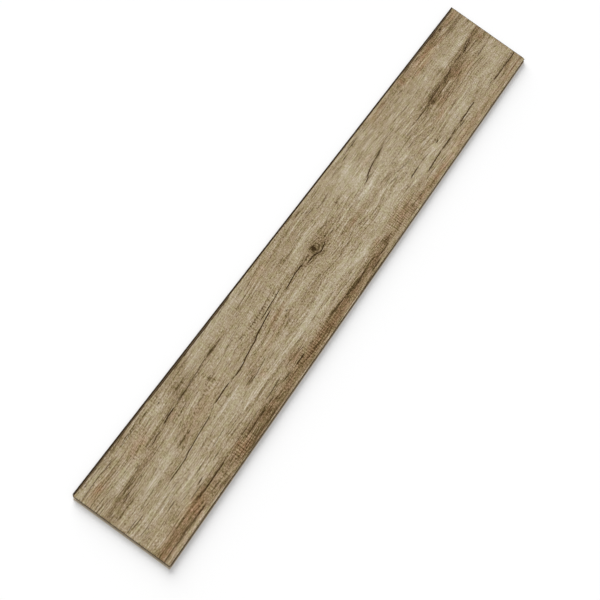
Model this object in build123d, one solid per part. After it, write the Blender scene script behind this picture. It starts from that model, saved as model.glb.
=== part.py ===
from build123d import *
import math
import os

# A laminate floor plank, lying decor side up. It is one pressed board, sawn to size and then milled
# on its four sides: a bevel along every top edge, and under it a click joint, with a tongue on the
# +X end and the +Y side and a groove with a sprung lower lip on the -X end and the -Y side.
#
# X runs along the plank, Y across it and Z up. The origin is on the underside, below the middle of
# the face that shows once the floor is laid. All sizes are in millimetres.

# The board
FACE_LENGTH = 1285.0
FACE_WIDTH = 192.0
THICKNESS = 8.0

# The bevel round the decor
BEVEL_WIDTH = 1.0
BEVEL_DEPTH = 0.8

# The tongue: how far it stands out of the joint plane, and the heights of its two faces
TONGUE_REACH = 3.2
TONGUE_TOP = 5.2
TONGUE_BELLY = 2.4
NOSE_RADIUS = 0.7
BELLY_START = 0.9

# The lock: the tongue's heel hooks behind a ridge on the neighbour's lower lip
LOCK_HEIGHT = 0.7
LOCK_ANGLE = 50.0
HEEL_SETBACK = 0.1
RIDGE_WIDTH = 0.75
RECESS_HEADROOM = 0.25

# The lower lip, which bends down as the tongue snaps in
LIP_REACH = 2.2
LIP_END_GAP = 0.2
LIP_CHAMFER = 0.5
LIP_RELIEF = 0.3
RELIEF_LENGTH = 5.2
RELIEF_RAMP = 0.6

# The groove, a little larger than the tongue all round, with a pocket for dust behind the nose
FIT_GAP = 0.05
DUST_POCKET = 0.3
POCKET_FLOOR = 3.3
POCKET_RADIUS = 0.5
RECESS_RADIUS = 0.3

LOCK_RUN = 1.0 / math.tan(math.radians(LOCK_ANGLE))


def outline(moves):
    """Edges through the given moves. A move is a point for a straight run, or a point with the
    direction in which a tangent arc leaves the last point."""
    edges = []
    last = moves[0][0]
    for point, leaving in moves[1:]:
        if leaving is None:
            edges.append(Line(last, point))
        else:
            edges.append(TangentArc(last, point, tangent=leaving))
        last = point
    return edges


def tongue_side():
    """The moves down the tongue side. The first number is how far out of the joint plane a point
    lies, and the second is its height."""
    nose_start = TONGUE_REACH - NOSE_RADIUS
    nose_end = TONGUE_TOP - NOSE_RADIUS
    recess_roof = TONGUE_BELLY + LOCK_HEIGHT + RECESS_HEADROOM
    lock_top = -HEEL_SETBACK - (recess_roof - TONGUE_BELLY) * LOCK_RUN
    cut_back = -(LIP_REACH + LIP_END_GAP)
    belly_radius = ((TONGUE_REACH - BELLY_START) ** 2 + (nose_end - TONGUE_BELLY) ** 2) / (
        2 * (nose_end - TONGUE_BELLY)
    )
    # the belly's arc is level at its foot, so this is its direction where it leaves the nose
    belly_slope = (
        -(TONGUE_BELLY + belly_radius - nose_end) / belly_radius,
        -(TONGUE_REACH - BELLY_START) / belly_radius,
    )
    return [
        ((-BEVEL_WIDTH, THICKNESS), None),
        ((0, THICKNESS - BEVEL_DEPTH), None),
        ((0, TONGUE_TOP), None),
        ((nose_start, TONGUE_TOP), None),
        ((TONGUE_REACH, nose_end), (1, 0)),
        ((BELLY_START, TONGUE_BELLY), belly_slope),
        ((-HEEL_SETBACK, TONGUE_BELLY), None),
        ((lock_top, recess_roof), None),
        ((cut_back + RECESS_RADIUS, recess_roof), None),
        ((cut_back, recess_roof - RECESS_RADIUS), (-1, 0)),
        ((cut_back, 0), None),
    ]


def groove_side():
    """The moves down the groove side, written as in tongue_side()."""
    roof = TONGUE_TOP + FIT_GAP
    back = -(TONGUE_REACH + DUST_POCKET)
    seat = TONGUE_BELLY - FIT_GAP
    nose_end = TONGUE_TOP - NOSE_RADIUS
    tongue_radius = ((TONGUE_REACH - BELLY_START) ** 2 + (nose_end - TONGUE_BELLY) ** 2) / (
        2 * (nose_end - TONGUE_BELLY)
    )
    seat_radius = tongue_radius + FIT_GAP
    # the seat shares its centre with the belly, and ends where it meets the pocket's floor
    rise = seat_radius - (POCKET_FLOOR - seat)
    seat_end = -BELLY_START - math.sqrt(seat_radius**2 - rise**2)
    seat_leaving = (rise / seat_radius, -math.sqrt(1 - (rise / seat_radius) ** 2))
    # the ridge's inner face stands off the heel by the gap, measured square to the face
    ridge_foot = HEEL_SETBACK + FIT_GAP / math.sin(math.radians(LOCK_ANGLE)) - FIT_GAP * LOCK_RUN
    ridge_top = TONGUE_BELLY + LOCK_HEIGHT
    ridge_start = ridge_foot + (ridge_top - seat) * LOCK_RUN
    ridge_end = ridge_start + RIDGE_WIDTH
    return [
        ((-BEVEL_WIDTH, THICKNESS), None),
        ((0, THICKNESS - BEVEL_DEPTH), None),
        ((0, roof), None),
        ((back + POCKET_RADIUS, roof), None),
        ((back, roof - POCKET_RADIUS), (-1, 0)),
        ((back, POCKET_FLOOR + POCKET_RADIUS), None),
        ((seat_end, POCKET_FLOOR), None),
        ((-BELLY_START, seat), seat_leaving),
        ((ridge_foot, seat), None),
        ((ridge_start, ridge_top), None),
        ((ridge_end, ridge_top), None),
        ((LIP_REACH, ridge_top - (LIP_REACH - ridge_end)), None),
        ((LIP_REACH, LIP_RELIEF + LIP_CHAMFER), None),
        ((LIP_REACH - LIP_CHAMFER, LIP_RELIEF), None),
        ((LIP_REACH - RELIEF_LENGTH, LIP_RELIEF), None),
        ((LIP_REACH - RELIEF_LENGTH - RELIEF_RAMP, 0), None),
    ]


def milled_section(width):
    """The section across a board of the given width between its joint planes, tongue on the right."""
    right = [
        ((width / 2 + out, up), leaving) for (out, up), leaving in tongue_side()
    ]
    left = [
        ((-width / 2 - out, up), leaving and (-leaving[0], leaving[1]))
        for (out, up), leaving in groove_side()
    ]
    sides = outline(right) + outline(left)
    decor = Line(left[0][0], right[0][0])
    underside = Line(left[-1][0], right[-1][0])
    return make_face(sides + [decor, underside])


def milled_board():
    """The board left by the two passes of the mill: along its sides, and then across its ends.
    Where a lip crosses a tongue at a corner, the second pass cuts a crumb of the lip's ridge free,
    and it falls away."""
    overrun = 20.0
    along = extrude(
        Plane.YZ * milled_section(FACE_WIDTH), FACE_LENGTH / 2 + overrun, both=True
    )
    across = extrude(
        Plane.XZ * milled_section(FACE_LENGTH), FACE_WIDTH / 2 + overrun, both=True
    )
    return max((along & across).solids(), key=lambda solid: solid.volume)


plank = milled_board()

os.makedirs("parts", exist_ok=True)
export_step(plank, "parts/plank.step")
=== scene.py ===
"""A laminate floor plank lying decor side up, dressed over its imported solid."""

import logging
import math
from dataclasses import dataclass, field
from enum import IntEnum

import bmesh
import bpy
import numpy as np
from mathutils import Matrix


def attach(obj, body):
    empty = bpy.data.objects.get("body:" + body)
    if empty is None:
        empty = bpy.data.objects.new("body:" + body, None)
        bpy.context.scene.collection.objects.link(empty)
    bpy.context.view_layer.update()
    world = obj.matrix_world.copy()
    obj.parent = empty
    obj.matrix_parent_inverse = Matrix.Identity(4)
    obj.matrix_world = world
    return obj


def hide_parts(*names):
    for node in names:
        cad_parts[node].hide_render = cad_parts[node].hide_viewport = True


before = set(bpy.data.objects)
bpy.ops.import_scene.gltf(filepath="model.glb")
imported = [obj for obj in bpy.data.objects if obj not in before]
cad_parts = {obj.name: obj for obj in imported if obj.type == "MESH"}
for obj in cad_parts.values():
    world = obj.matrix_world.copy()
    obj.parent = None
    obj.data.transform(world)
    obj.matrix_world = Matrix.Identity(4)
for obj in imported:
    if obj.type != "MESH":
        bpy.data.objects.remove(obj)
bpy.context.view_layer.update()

log = logging.getLogger("plank")

MM = 0.001
CLOSE = 0.01 * MM  # Places nearer than this count as one.
TINY = 0.001 * MM  # No cut is made nearer than this to an edge's ends.
Colour = tuple[float, float, float]
Triple = tuple[float, float, float]
Point2 = tuple[float, float]
Edges = tuple[float, float]
Socket = bpy.types.NodeSocket


def srgb(red: float, green: float, blue: float) -> tuple[float, float, float, float]:
    """Turns a colour as seen on a screen into the linear colour that a shader takes.

    Args:
        red: Red from 0 to 255.
        green: Green from 0 to 255.
        blue: Blue from 0 to 255.

    Returns:
        The linear colour with an alpha of 1.
    """
    channels = []
    for value in (red, green, blue):
        share = value / 255
        channels.append(share / 12.92 if share <= 0.04045 else ((share + 0.055) / 1.055) ** 2.4)
    return (channels[0], channels[1], channels[2], 1.0)


def smoothstep(low: float, high: float, value: np.ndarray) -> np.ndarray:
    """Rises smoothly from 0 at low to 1 at high.

    Args:
        low: Where the rise starts.
        high: Where the rise ends.
        value: The values to look up.

    Returns:
        The share of the rise for each value.
    """
    share = np.clip((value - low) / (high - low), 0.0, 1.0)
    return share * share * (3 - 2 * share)


class Face(IntEnum):
    """Which finish a face of the board has. The number is its material slot."""

    DECOR = 0
    BEVEL = 1
    CORE = 2
    # The next three are copies of the fibre core. The dark one is painted shade on the tongue sides and far
    # end, which the lamp lights. The two pale ones are painted light on the groove side and near end, which
    # lie in shade.
    PAINTED_SHADE = 3
    PAINTED_LIGHT = 4
    PAINTED_MORE_LIGHT = 5
    BACKING = 6


class Wires:
    """Lays nodes in one tree and joins them."""

    def __init__(self, tree: bpy.types.NodeTree) -> None:
        """Starts work on a tree.

        Args:
            tree: The shader or geometry tree to lay nodes in.
        """
        self.tree = tree

    def node(self, kind: str, **settings: object) -> bpy.types.Node:
        """Adds a node.

        Args:
            kind: The node's type name.
            settings: Properties to set on it.

        Returns:
            The new node.
        """
        made = self.tree.nodes.new(kind)
        for name, value in settings.items():
            setattr(made, name, value)
        return made

    def feed(self, socket: Socket, value: object) -> None:
        """Joins a socket to another, or sets it to a value.

        Args:
            socket: The socket to feed.
            value: Another socket, or the value to set.
        """
        if isinstance(value, Socket):
            self.tree.links.new(value, socket)
        else:
            socket.default_value = value

    def math(self, operation: str, *values: object, clamp: bool = False) -> Socket:
        """Adds a math node.

        Args:
            operation: The operation's name.
            values: Its operands, each a socket or a number.
            clamp: Whether the result is kept from 0 to 1.

        Returns:
            The result's socket.
        """
        made = self.node("ShaderNodeMath", operation=operation, use_clamp=clamp)
        for socket, value in zip(made.inputs, values):
            self.feed(socket, value)
        return made.outputs[0]

    def total(self, *values: object) -> Socket:
        """Adds several values together.

        Args:
            values: Sockets or numbers.

        Returns:
            The sum's socket.
        """
        result = values[0]
        for value in values[1:]:
            result = self.math("ADD", result, value)
        return result

    def lean(self, value: Socket, weight: float, onto: object) -> Socket:
        """Adds to a sum what a noise has above its middle of 0.5, times a weight."""
        return self.math("MULTIPLY_ADD", self.math("SUBTRACT", value, 0.5), weight, onto)

    def step(self, value: object, low: object, high: object, top: float = 1.0) -> Socket:
        """Adds a smooth step.

        Args:
            value: What is looked up.
            low: Where the step starts.
            high: Where the step ends.
            top: The height that it rises to.

        Returns:
            The socket of the step's height.
        """
        made = self.node("ShaderNodeMapRange", interpolation_type="SMOOTHSTEP")
        for name, part in (("Value", value), ("From Min", low), ("From Max", high), ("To Max", top)):
            self.feed(made.inputs[name], part)
        return made.outputs["Result"]

    def stretch(self, vector: Socket, scale: Triple, shift: Triple = (0, 0, 0)) -> Socket:
        """Scales and shifts a pattern's coordinates.

        Args:
            vector: The coordinates in metres.
            scale: How many units of pattern go into a metre, along, across and up.
            shift: What is added, so that patterns differ.

        Returns:
            The socket of the new coordinates.
        """
        made = self.node("ShaderNodeVectorMath", operation="MULTIPLY_ADD")
        self.feed(made.inputs[0], vector)
        made.inputs[1].default_value = scale
        made.inputs[2].default_value = shift
        return made.outputs[0]

    def noise(self, vector: Socket, detail: float = 2.0, roughness: float = 0.5) -> Socket:
        """Adds a noise pattern.

        Args:
            vector: Its coordinates, one unit to a blotch.
            detail: How many finer layers it has.
            roughness: How strong those layers are.

        Returns:
            The socket of its value, about 0.5 in the mean.
        """
        made = self.node("ShaderNodeTexNoise", noise_dimensions="3D")
        self.feed(made.inputs["Vector"], vector)
        made.inputs["Scale"].default_value = 1.0
        made.inputs["Detail"].default_value = detail
        made.inputs["Roughness"].default_value = roughness
        return made.outputs[0]

    def tint(self, share: object, below: object, above: object, blend: str = "MIX") -> Socket:
        """Mixes two colours.

        Args:
            share: How much of the second there is.
            below: The first colour, a socket or four numbers.
            above: The second colour.
            blend: How they are blended.

        Returns:
            The socket of the mixed colour.
        """
        made = self.node("ShaderNodeMix", data_type="RGBA", blend_type=blend)
        self.feed(made.inputs[0], share)
        self.feed(made.inputs[6], below)
        self.feed(made.inputs[7], above)
        return made.outputs[2]

    def attribute(self, name: str, output: str) -> Socket:
        """Reads a mesh attribute in a shader, and returns the socket of the output asked for."""
        return self.node("ShaderNodeAttribute", attribute_name=name).outputs[output]

    def here(self) -> Socket:
        """Reads the place on the object in a shader, and returns its socket."""
        return self.node("ShaderNodeTexCoord").outputs["Object"]

    def parts(self, vector: Socket) -> tuple[Socket, ...]:
        """Splits a vector.

        Args:
            vector: The vector's socket.

        Returns:
            The sockets of its three parts.
        """
        made = self.node("ShaderNodeSeparateXYZ")
        self.feed(made.inputs[0], vector)
        return tuple(made.outputs)

    def plain_view(self) -> Socket:
        """Tells the rays that see the white surroundings from the rays that they light.

        Returns:
            The socket of 1 for a camera, glossy or transmission ray, and otherwise of 0.
        """
        ray = self.node("ShaderNodeLightPath").outputs
        seen = self.math("MAXIMUM", ray["Is Camera Ray"], ray["Is Glossy Ray"])
        return self.math("MAXIMUM", seen, ray["Is Transmission Ray"])


@dataclass(frozen=True)
class Finish:
    """A finish with one principled shader. A subclass lays its own pattern."""

    name: str
    roughness: float = 0.5
    specular: float = 0.4

    def build(self) -> bpy.types.Material:
        """Makes the finish's material.

        Returns:
            The new material.
        """
        material = bpy.data.materials.new(self.name)
        material.use_nodes = True
        wires = Wires(material.node_tree)
        shader = material.node_tree.nodes["Principled BSDF"]
        shader.inputs["Roughness"].default_value = self.roughness
        shader.inputs["Specular IOR Level"].default_value = self.specular
        self.pattern(wires, shader)
        return material

    def pattern(self, wires: Wires, shader: bpy.types.Node) -> None:
        """Lays the finish's pattern and joins it to the shader.

        Args:
            wires: The tree being laid.
            shader: The shader that takes the pattern.
        """
        raise NotImplementedError

    def relief(self, wires: Wires, shader: bpy.types.Node, height: object, depth: float) -> None:
        """Joins a fine relief to the shader.

        Args:
            wires: The tree being laid.
            shader: The shader that takes the relief.
            height: The relief's height from 0 to 1.
            depth: How deep a height of 1 is, in metres.
        """
        bump = wires.node("ShaderNodeBump")
        bump.inputs["Strength"].default_value = 1.0
        bump.inputs["Distance"].default_value = depth
        wires.feed(bump.inputs["Height"], height)
        wires.feed(shader.inputs["Normal"], bump.outputs[0])


@dataclass(frozen=True)
class Layer:
    """One layer of the wood's mottle, with the size of its blotches in millimetres."""

    along: float
    across: float
    weight: float
    shift: float
    detail: float = 2.0
    roughness: float = 0.55
    fibrous: bool = True

    def lay(self, wires: Wires, fibres: Socket, here: Socket) -> Socket:
        """Lays the layer's noise.

        Args:
            wires: The tree being laid.
            fibres: The coordinates that follow the fibres.
            here: The plain coordinates.

        Returns:
            The socket of its value, about 0.5 in the mean.
        """
        ground = fibres if self.fibrous else here
        scale = (1 / (self.along * MM), 1 / (self.across * MM), 1.0)
        return wires.noise(wires.stretch(ground, scale, (self.shift, 0, 0)), self.detail, self.roughness)


@dataclass(frozen=True)
class WoodPrint(Finish):
    """The printed decor: weathered, pale brown wood under a satin wear layer.

    The fields named for their edges hold where a smooth step starts and where it ends.
    """

    broad: Layer = Layer(210, 13, 0.12, 3.0)
    streak: Layer = Layer(110, 3.6, 0.09, 7.0, 2.0, 0.6)
    fibre: Layer = Layer(46, 1.6, 0.68, 5.0, 2.0, 0.72)
    speck: Layer = Layer(3.8, 1.4, 1.30, 9.0, 2.0, 0.6)
    mottle: Layer = Layer(15, 10, 0.28, 2.0, 3.0, 0.65, False)
    hair: Layer = Layer(190, 6.0, -0.21, 11.0, 1.0, 0.5)
    gleam: Layer = Layer(160, 6.5, 0.17, 17.0, 1.0, 0.5)
    cuts: Layer = Layer(4.6, 60, 0.40, 4.0, 1.0, 0.5, False)
    pores: Layer = Layer(20, 2.0, -0.14, 1.0, 1.0, 0.5)
    pore_edges: Edges = (0.60, 0.68)
    thread_edges: Edges = (0.008, 0.042)
    mask_edges: Edges = (0.58, 0.44)
    tick_pitch: float = 5.2 * MM
    tick_wobble: float = 5.0
    tick_edges: Edges = (-0.2, 0.9)
    tick_mean: float = 0.4
    tick_weight: float = -0.16
    mean_tone: float = 0.529
    stain_weight: float = -0.50
    stain_by_streak: float = -0.7
    stain_by_fibre: float = -0.9
    pale_weight: float = 0.26
    tones: tuple[tuple[float, Colour], ...] = (
        (0.00, (56, 41, 16)),
        (0.22, (104, 88, 58)),
        (0.42, (148, 129, 97)),
        (0.58, (172, 156, 125)),
        (0.78, (194, 182, 154)),
        (1.00, (220, 211, 187)),
    )
    rust: Colour = (1.01, 0.92, 0.87)
    rust_blotch: float = 2.4
    moss: Colour = (0.985, 1.0, 0.965)
    moss_edges: Edges = (0.50, 0.36)
    bloom: Colour = (1.003, 0.994, 1.03)
    bloom_edges: Edges = (0.44, 0.62)
    haze: Colour = (183, 177, 156)
    haze_share: float = 0.30
    ink: Colour = (46, 27, 5)
    ink_edges: Edges = (0.28, 0.46)
    ink_gain: float = 0.30
    ink_least: float = 0.90
    wander_scale: Triple = (260, 420, 1)
    wander_shift: Triple = (0, 0, 8)
    wander_reach: float = 0.9 * MM
    split_half: float = 0.33 * MM
    split_widening: float = 1.0 * MM
    split_core: float = 0.42
    split_gain: float = 1.25
    gloss_spread: float = 0.25
    relief_depth: float = 0.15 * MM
    relief_shares: tuple[float, ...] = (0.6, 0.4, -0.5, -0.8)

    def pattern(self, wires: Wires, shader: bpy.types.Node) -> None:
        """Lays the wood's tones, stains, splits and saw marks, and their relief.

        Args:
            wires: The tree being laid.
            shader: The shader that takes the pattern.
        """
        grain = wires.attribute("grain", "Vector")
        here = wires.here()
        dark, warm, pale = wires.parts(wires.attribute("stain", "Vector"))
        tone, laid = self.mean_tone, {}
        for name in ("broad", "streak", "fibre", "speck", "mottle"):
            layer = getattr(self, name)
            laid[name] = layer.lay(wires, grain, here)
            tone = wires.lean(laid[name], layer.weight, tone)
        tone = self.saw_marks(wires, grain, here, laid["mottle"], tone)
        patchy = wires.lean(laid["streak"], self.stain_by_streak, 1.0)
        patchy = wires.lean(laid["fibre"], self.stain_by_fibre, patchy)
        tone = wires.math("MULTIPLY_ADD", wires.math("MULTIPLY", dark, patchy), self.stain_weight, tone)
        tone = wires.math("MULTIPLY_ADD", pale, self.pale_weight, tone)
        pores = wires.step(self.pores.lay(wires, grain, here), *self.pore_edges)
        tone = wires.math("MULTIPLY_ADD", pores, self.pores.weight, tone)
        for layer, mask in ((self.hair, "streak"), (self.gleam, "broad")):
            contour = wires.math("ABSOLUTE", wires.math("SUBTRACT", layer.lay(wires, grain, here), 0.5))
            thread = wires.math("SUBTRACT", 1.0, wires.step(contour, *self.thread_edges))
            thread = wires.math("MULTIPLY", thread, wires.step(laid[mask], *self.mask_edges))
            tone = wires.math("MULTIPLY_ADD", thread, layer.weight, tone)
        colour = self.glazed(wires, self.toned(wires, tone), laid["mottle"], warm, pale)
        drawn = self.drawn(wires, here, laid["fibre"])
        wires.feed(shader.inputs["Base Color"], wires.tint(drawn, colour, srgb(*self.ink)))
        wires.feed(shader.inputs["Roughness"], wires.lean(laid["fibre"], self.gloss_spread, self.roughness))
        parts = zip((laid["fibre"], laid["speck"], pores, drawn), self.relief_shares)
        height = wires.total(*(wires.math("MULTIPLY", part, share) for part, share in parts))
        self.relief(wires, shader, height, self.relief_depth)

    def saw_marks(self, wires: Wires, grain: Socket, here: Socket, mottle: Socket, tone: Socket) -> Socket:
        """Lays the marks that a saw leaves across the grain: soft cuts, and a row of ticks.

        Args:
            wires: The tree being laid.
            grain: The coordinates that follow the fibres.
            here: The plain coordinates.
            mottle: The mottle, which makes the ticks wander.
            tone: The wood's tone so far.

        Returns:
            The socket of the tone with the marks.
        """
        sawn = wires.attribute("sawn", "Fac")
        cut = wires.math("SUBTRACT", self.cuts.lay(wires, grain, here), 0.5)
        tone = wires.math("MULTIPLY_ADD", wires.math("MULTIPLY", cut, sawn), self.cuts.weight, tone)
        swing = wires.math("MULTIPLY", wires.parts(here)[0], math.tau / self.tick_pitch)
        swing = wires.math("SINE", wires.math("MULTIPLY_ADD", mottle, self.tick_wobble, swing))
        tick = wires.math("SUBTRACT", wires.step(swing, *self.tick_edges), self.tick_mean)
        return wires.math("MULTIPLY_ADD", wires.math("MULTIPLY", tick, sawn), self.tick_weight, tone)

    def toned(self, wires: Wires, tone: Socket) -> Socket:
        """Turns the wood's tone into a colour.

        Args:
            wires: The tree being laid.
            tone: The tone, 0 for the darkest wood and 1 for the palest.

        Returns:
            The colour's socket.
        """
        ramp = wires.node("ShaderNodeValToRGB")
        wires.feed(ramp.inputs[0], wires.math("MAXIMUM", tone, 0.0, clamp=True))
        stops = ramp.color_ramp.elements
        while len(stops) < len(self.tones):
            stops.new(0.5)
        for stop, (place, colour) in zip(stops, self.tones):
            stop.position = place
            stop.color = srgb(*colour)
        return ramp.outputs[0]

    def glazed(self, wires: Wires, colour: Socket, mottle: Socket, warm: Socket, pale: Socket) -> Socket:
        """Glazes the wood with rust, moss green, a cool bloom and a pale haze.

        Args:
            wires: The tree being laid.
            colour: The wood's colour so far.
            mottle: The mottle, which breaks the glazes up.
            warm: How rusty the wood is.
            pale: How pale it is.

        Returns:
            The socket of the glazed colour.
        """
        rusty = wires.math("MULTIPLY", warm, wires.lean(mottle, self.rust_blotch, 1.0), clamp=True)
        mossy = wires.step(mottle, *self.moss_edges)
        cool = wires.step(mottle, *self.bloom_edges)
        for share, cast in ((rusty, self.rust), (mossy, self.moss), (cool, self.bloom)):
            glaze = tuple(channel**2.2 for channel in cast) + (1.0,)
            colour = wires.tint(share, colour, wires.tint(1.0, colour, glaze, "MULTIPLY"))
        share = wires.math("MULTIPLY", pale, self.haze_share, clamp=True)
        return wires.tint(share, colour, srgb(*self.haze))

    def drawn(self, wires: Wires, here: Socket, fibre: Socket) -> Socket:
        """Draws the dark splits from their signed distances.

        Args:
            wires: The tree being laid.
            here: The plain coordinates, by which the splits' edges wander.
            fibre: The fibres, which the ink shows through.

        Returns:
            The socket of how dark they are, from 0 to 1.
        """
        wander = wires.noise(wires.stretch(here, self.wander_scale, self.wander_shift), 2.0, 0.6)
        jitter = wires.math("MULTIPLY", wires.math("SUBTRACT", wander, 0.5), self.wander_reach)
        darkest = 0.0
        for sheet in range(WoodFigure.SHEETS):
            offs = wires.parts(wires.attribute(f"split_off_{sheet}", "Vector"))
            inks = wires.parts(wires.attribute(f"split_ink_{sheet}", "Vector"))
            for off, ink in zip(offs, inks):
                apart = wires.math("ABSOLUTE", wires.math("ADD", off, jitter))
                half = wires.math("MULTIPLY_ADD", ink, self.split_widening, self.split_half)
                core = wires.math("MULTIPLY", half, self.split_core)
                line = wires.math("SUBTRACT", 1.0, wires.step(apart, core, half))
                strength = wires.math("MULTIPLY", ink, self.split_gain, clamp=True)
                darkest = wires.math("MAXIMUM", darkest, wires.math("MULTIPLY", line, strength))
        broken = wires.step(fibre, *self.ink_edges)
        broken = wires.math("MULTIPLY_ADD", broken, self.ink_gain, self.ink_least)
        return wires.math("MULTIPLY", darkest, broken, clamp=True)


@dataclass(frozen=True)
class BevelPaint(Finish):
    """Dark brown paint, rolled onto the bevel round the decor."""

    paint: Colour = (82, 69, 50)
    worn: Colour = (108, 92, 67)
    thin_scale: Triple = (60, 60, 300)
    thin_edges: Edges = (0.45, 0.75)
    thin_share: float = 0.8
    relief_depth: float = 0.05 * MM

    def pattern(self, wires: Wires, shader: bpy.types.Node) -> None:
        """Lays paint that is thinner in places along the edge.

        Args:
            wires: The tree being laid.
            shader: The shader that takes the pattern.
        """
        thin = wires.noise(wires.stretch(wires.here(), self.thin_scale), 3.0, 0.6)
        share = wires.step(thin, *self.thin_edges, self.thin_share)
        wires.feed(shader.inputs["Base Color"], wires.tint(share, srgb(*self.paint), srgb(*self.worn)))
        self.relief(wires, shader, thin, self.relief_depth)


@dataclass(frozen=True)
class FibreCore(Finish):
    """The milled fibre board of the core: plain, or a darker copy as painted shade, or paler copies as
    painted light.
    """

    fibre: Colour = (178, 146, 106)
    chip: Colour = (198, 170, 130)
    dust: Colour = (154, 124, 86)
    fine_scale: Triple = (900, 900, 2400)
    chip_edges: Edges = (0.40, 0.72)
    clump_scale: Triple = (120, 120, 500)
    dust_edges: Edges = (0.5, 0.8)
    dust_share: float = 0.7
    relief_depth: float = 0.06 * MM

    def pattern(self, wires: Wires, shader: bpy.types.Node) -> None:
        """Lays the pressed fibres' fine mottle, with clumps of darker dust.

        Args:
            wires: The tree being laid.
            shader: The shader that takes the pattern.
        """
        here = wires.here()
        fine = wires.noise(wires.stretch(here, self.fine_scale), 3.0, 0.65)
        clump = wires.noise(wires.stretch(here, self.clump_scale), 2.0, 0.5)
        colour = wires.tint(wires.step(fine, *self.chip_edges), srgb(*self.fibre), srgb(*self.chip))
        dusty = wires.step(clump, *self.dust_edges, self.dust_share)
        wires.feed(shader.inputs["Base Color"], wires.tint(dusty, colour, srgb(*self.dust)))
        self.relief(wires, shader, fine, self.relief_depth)


@dataclass(frozen=True)
class BackingPaper(Finish):
    """The plain balancing paper pressed onto the underside."""

    paper: Colour = (176, 160, 132)
    shade: Colour = (150, 133, 104)
    cloud_scale: Triple = (14, 14, 1)
    fleck_scale: Triple = (700, 700, 1)
    fleck_weight: float = 0.8
    relief_depth: float = 0.03 * MM

    def pattern(self, wires: Wires, shader: bpy.types.Node) -> None:
        """Lays paper with faint clouds and fibres.

        Args:
            wires: The tree being laid.
            shader: The shader that takes the pattern.
        """
        here = wires.here()
        cloud = wires.noise(wires.stretch(here, self.cloud_scale), 3.0, 0.6)
        fleck = wires.noise(wires.stretch(here, self.fleck_scale), 2.0, 0.6)
        above = wires.math("SUBTRACT", fleck, 0.5)
        share = wires.math("MULTIPLY_ADD", above, self.fleck_weight, cloud, clamp=True)
        wires.feed(shader.inputs["Base Color"], wires.tint(share, srgb(*self.paper), srgb(*self.shade)))
        self.relief(wires, shader, fleck, self.relief_depth)


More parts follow.
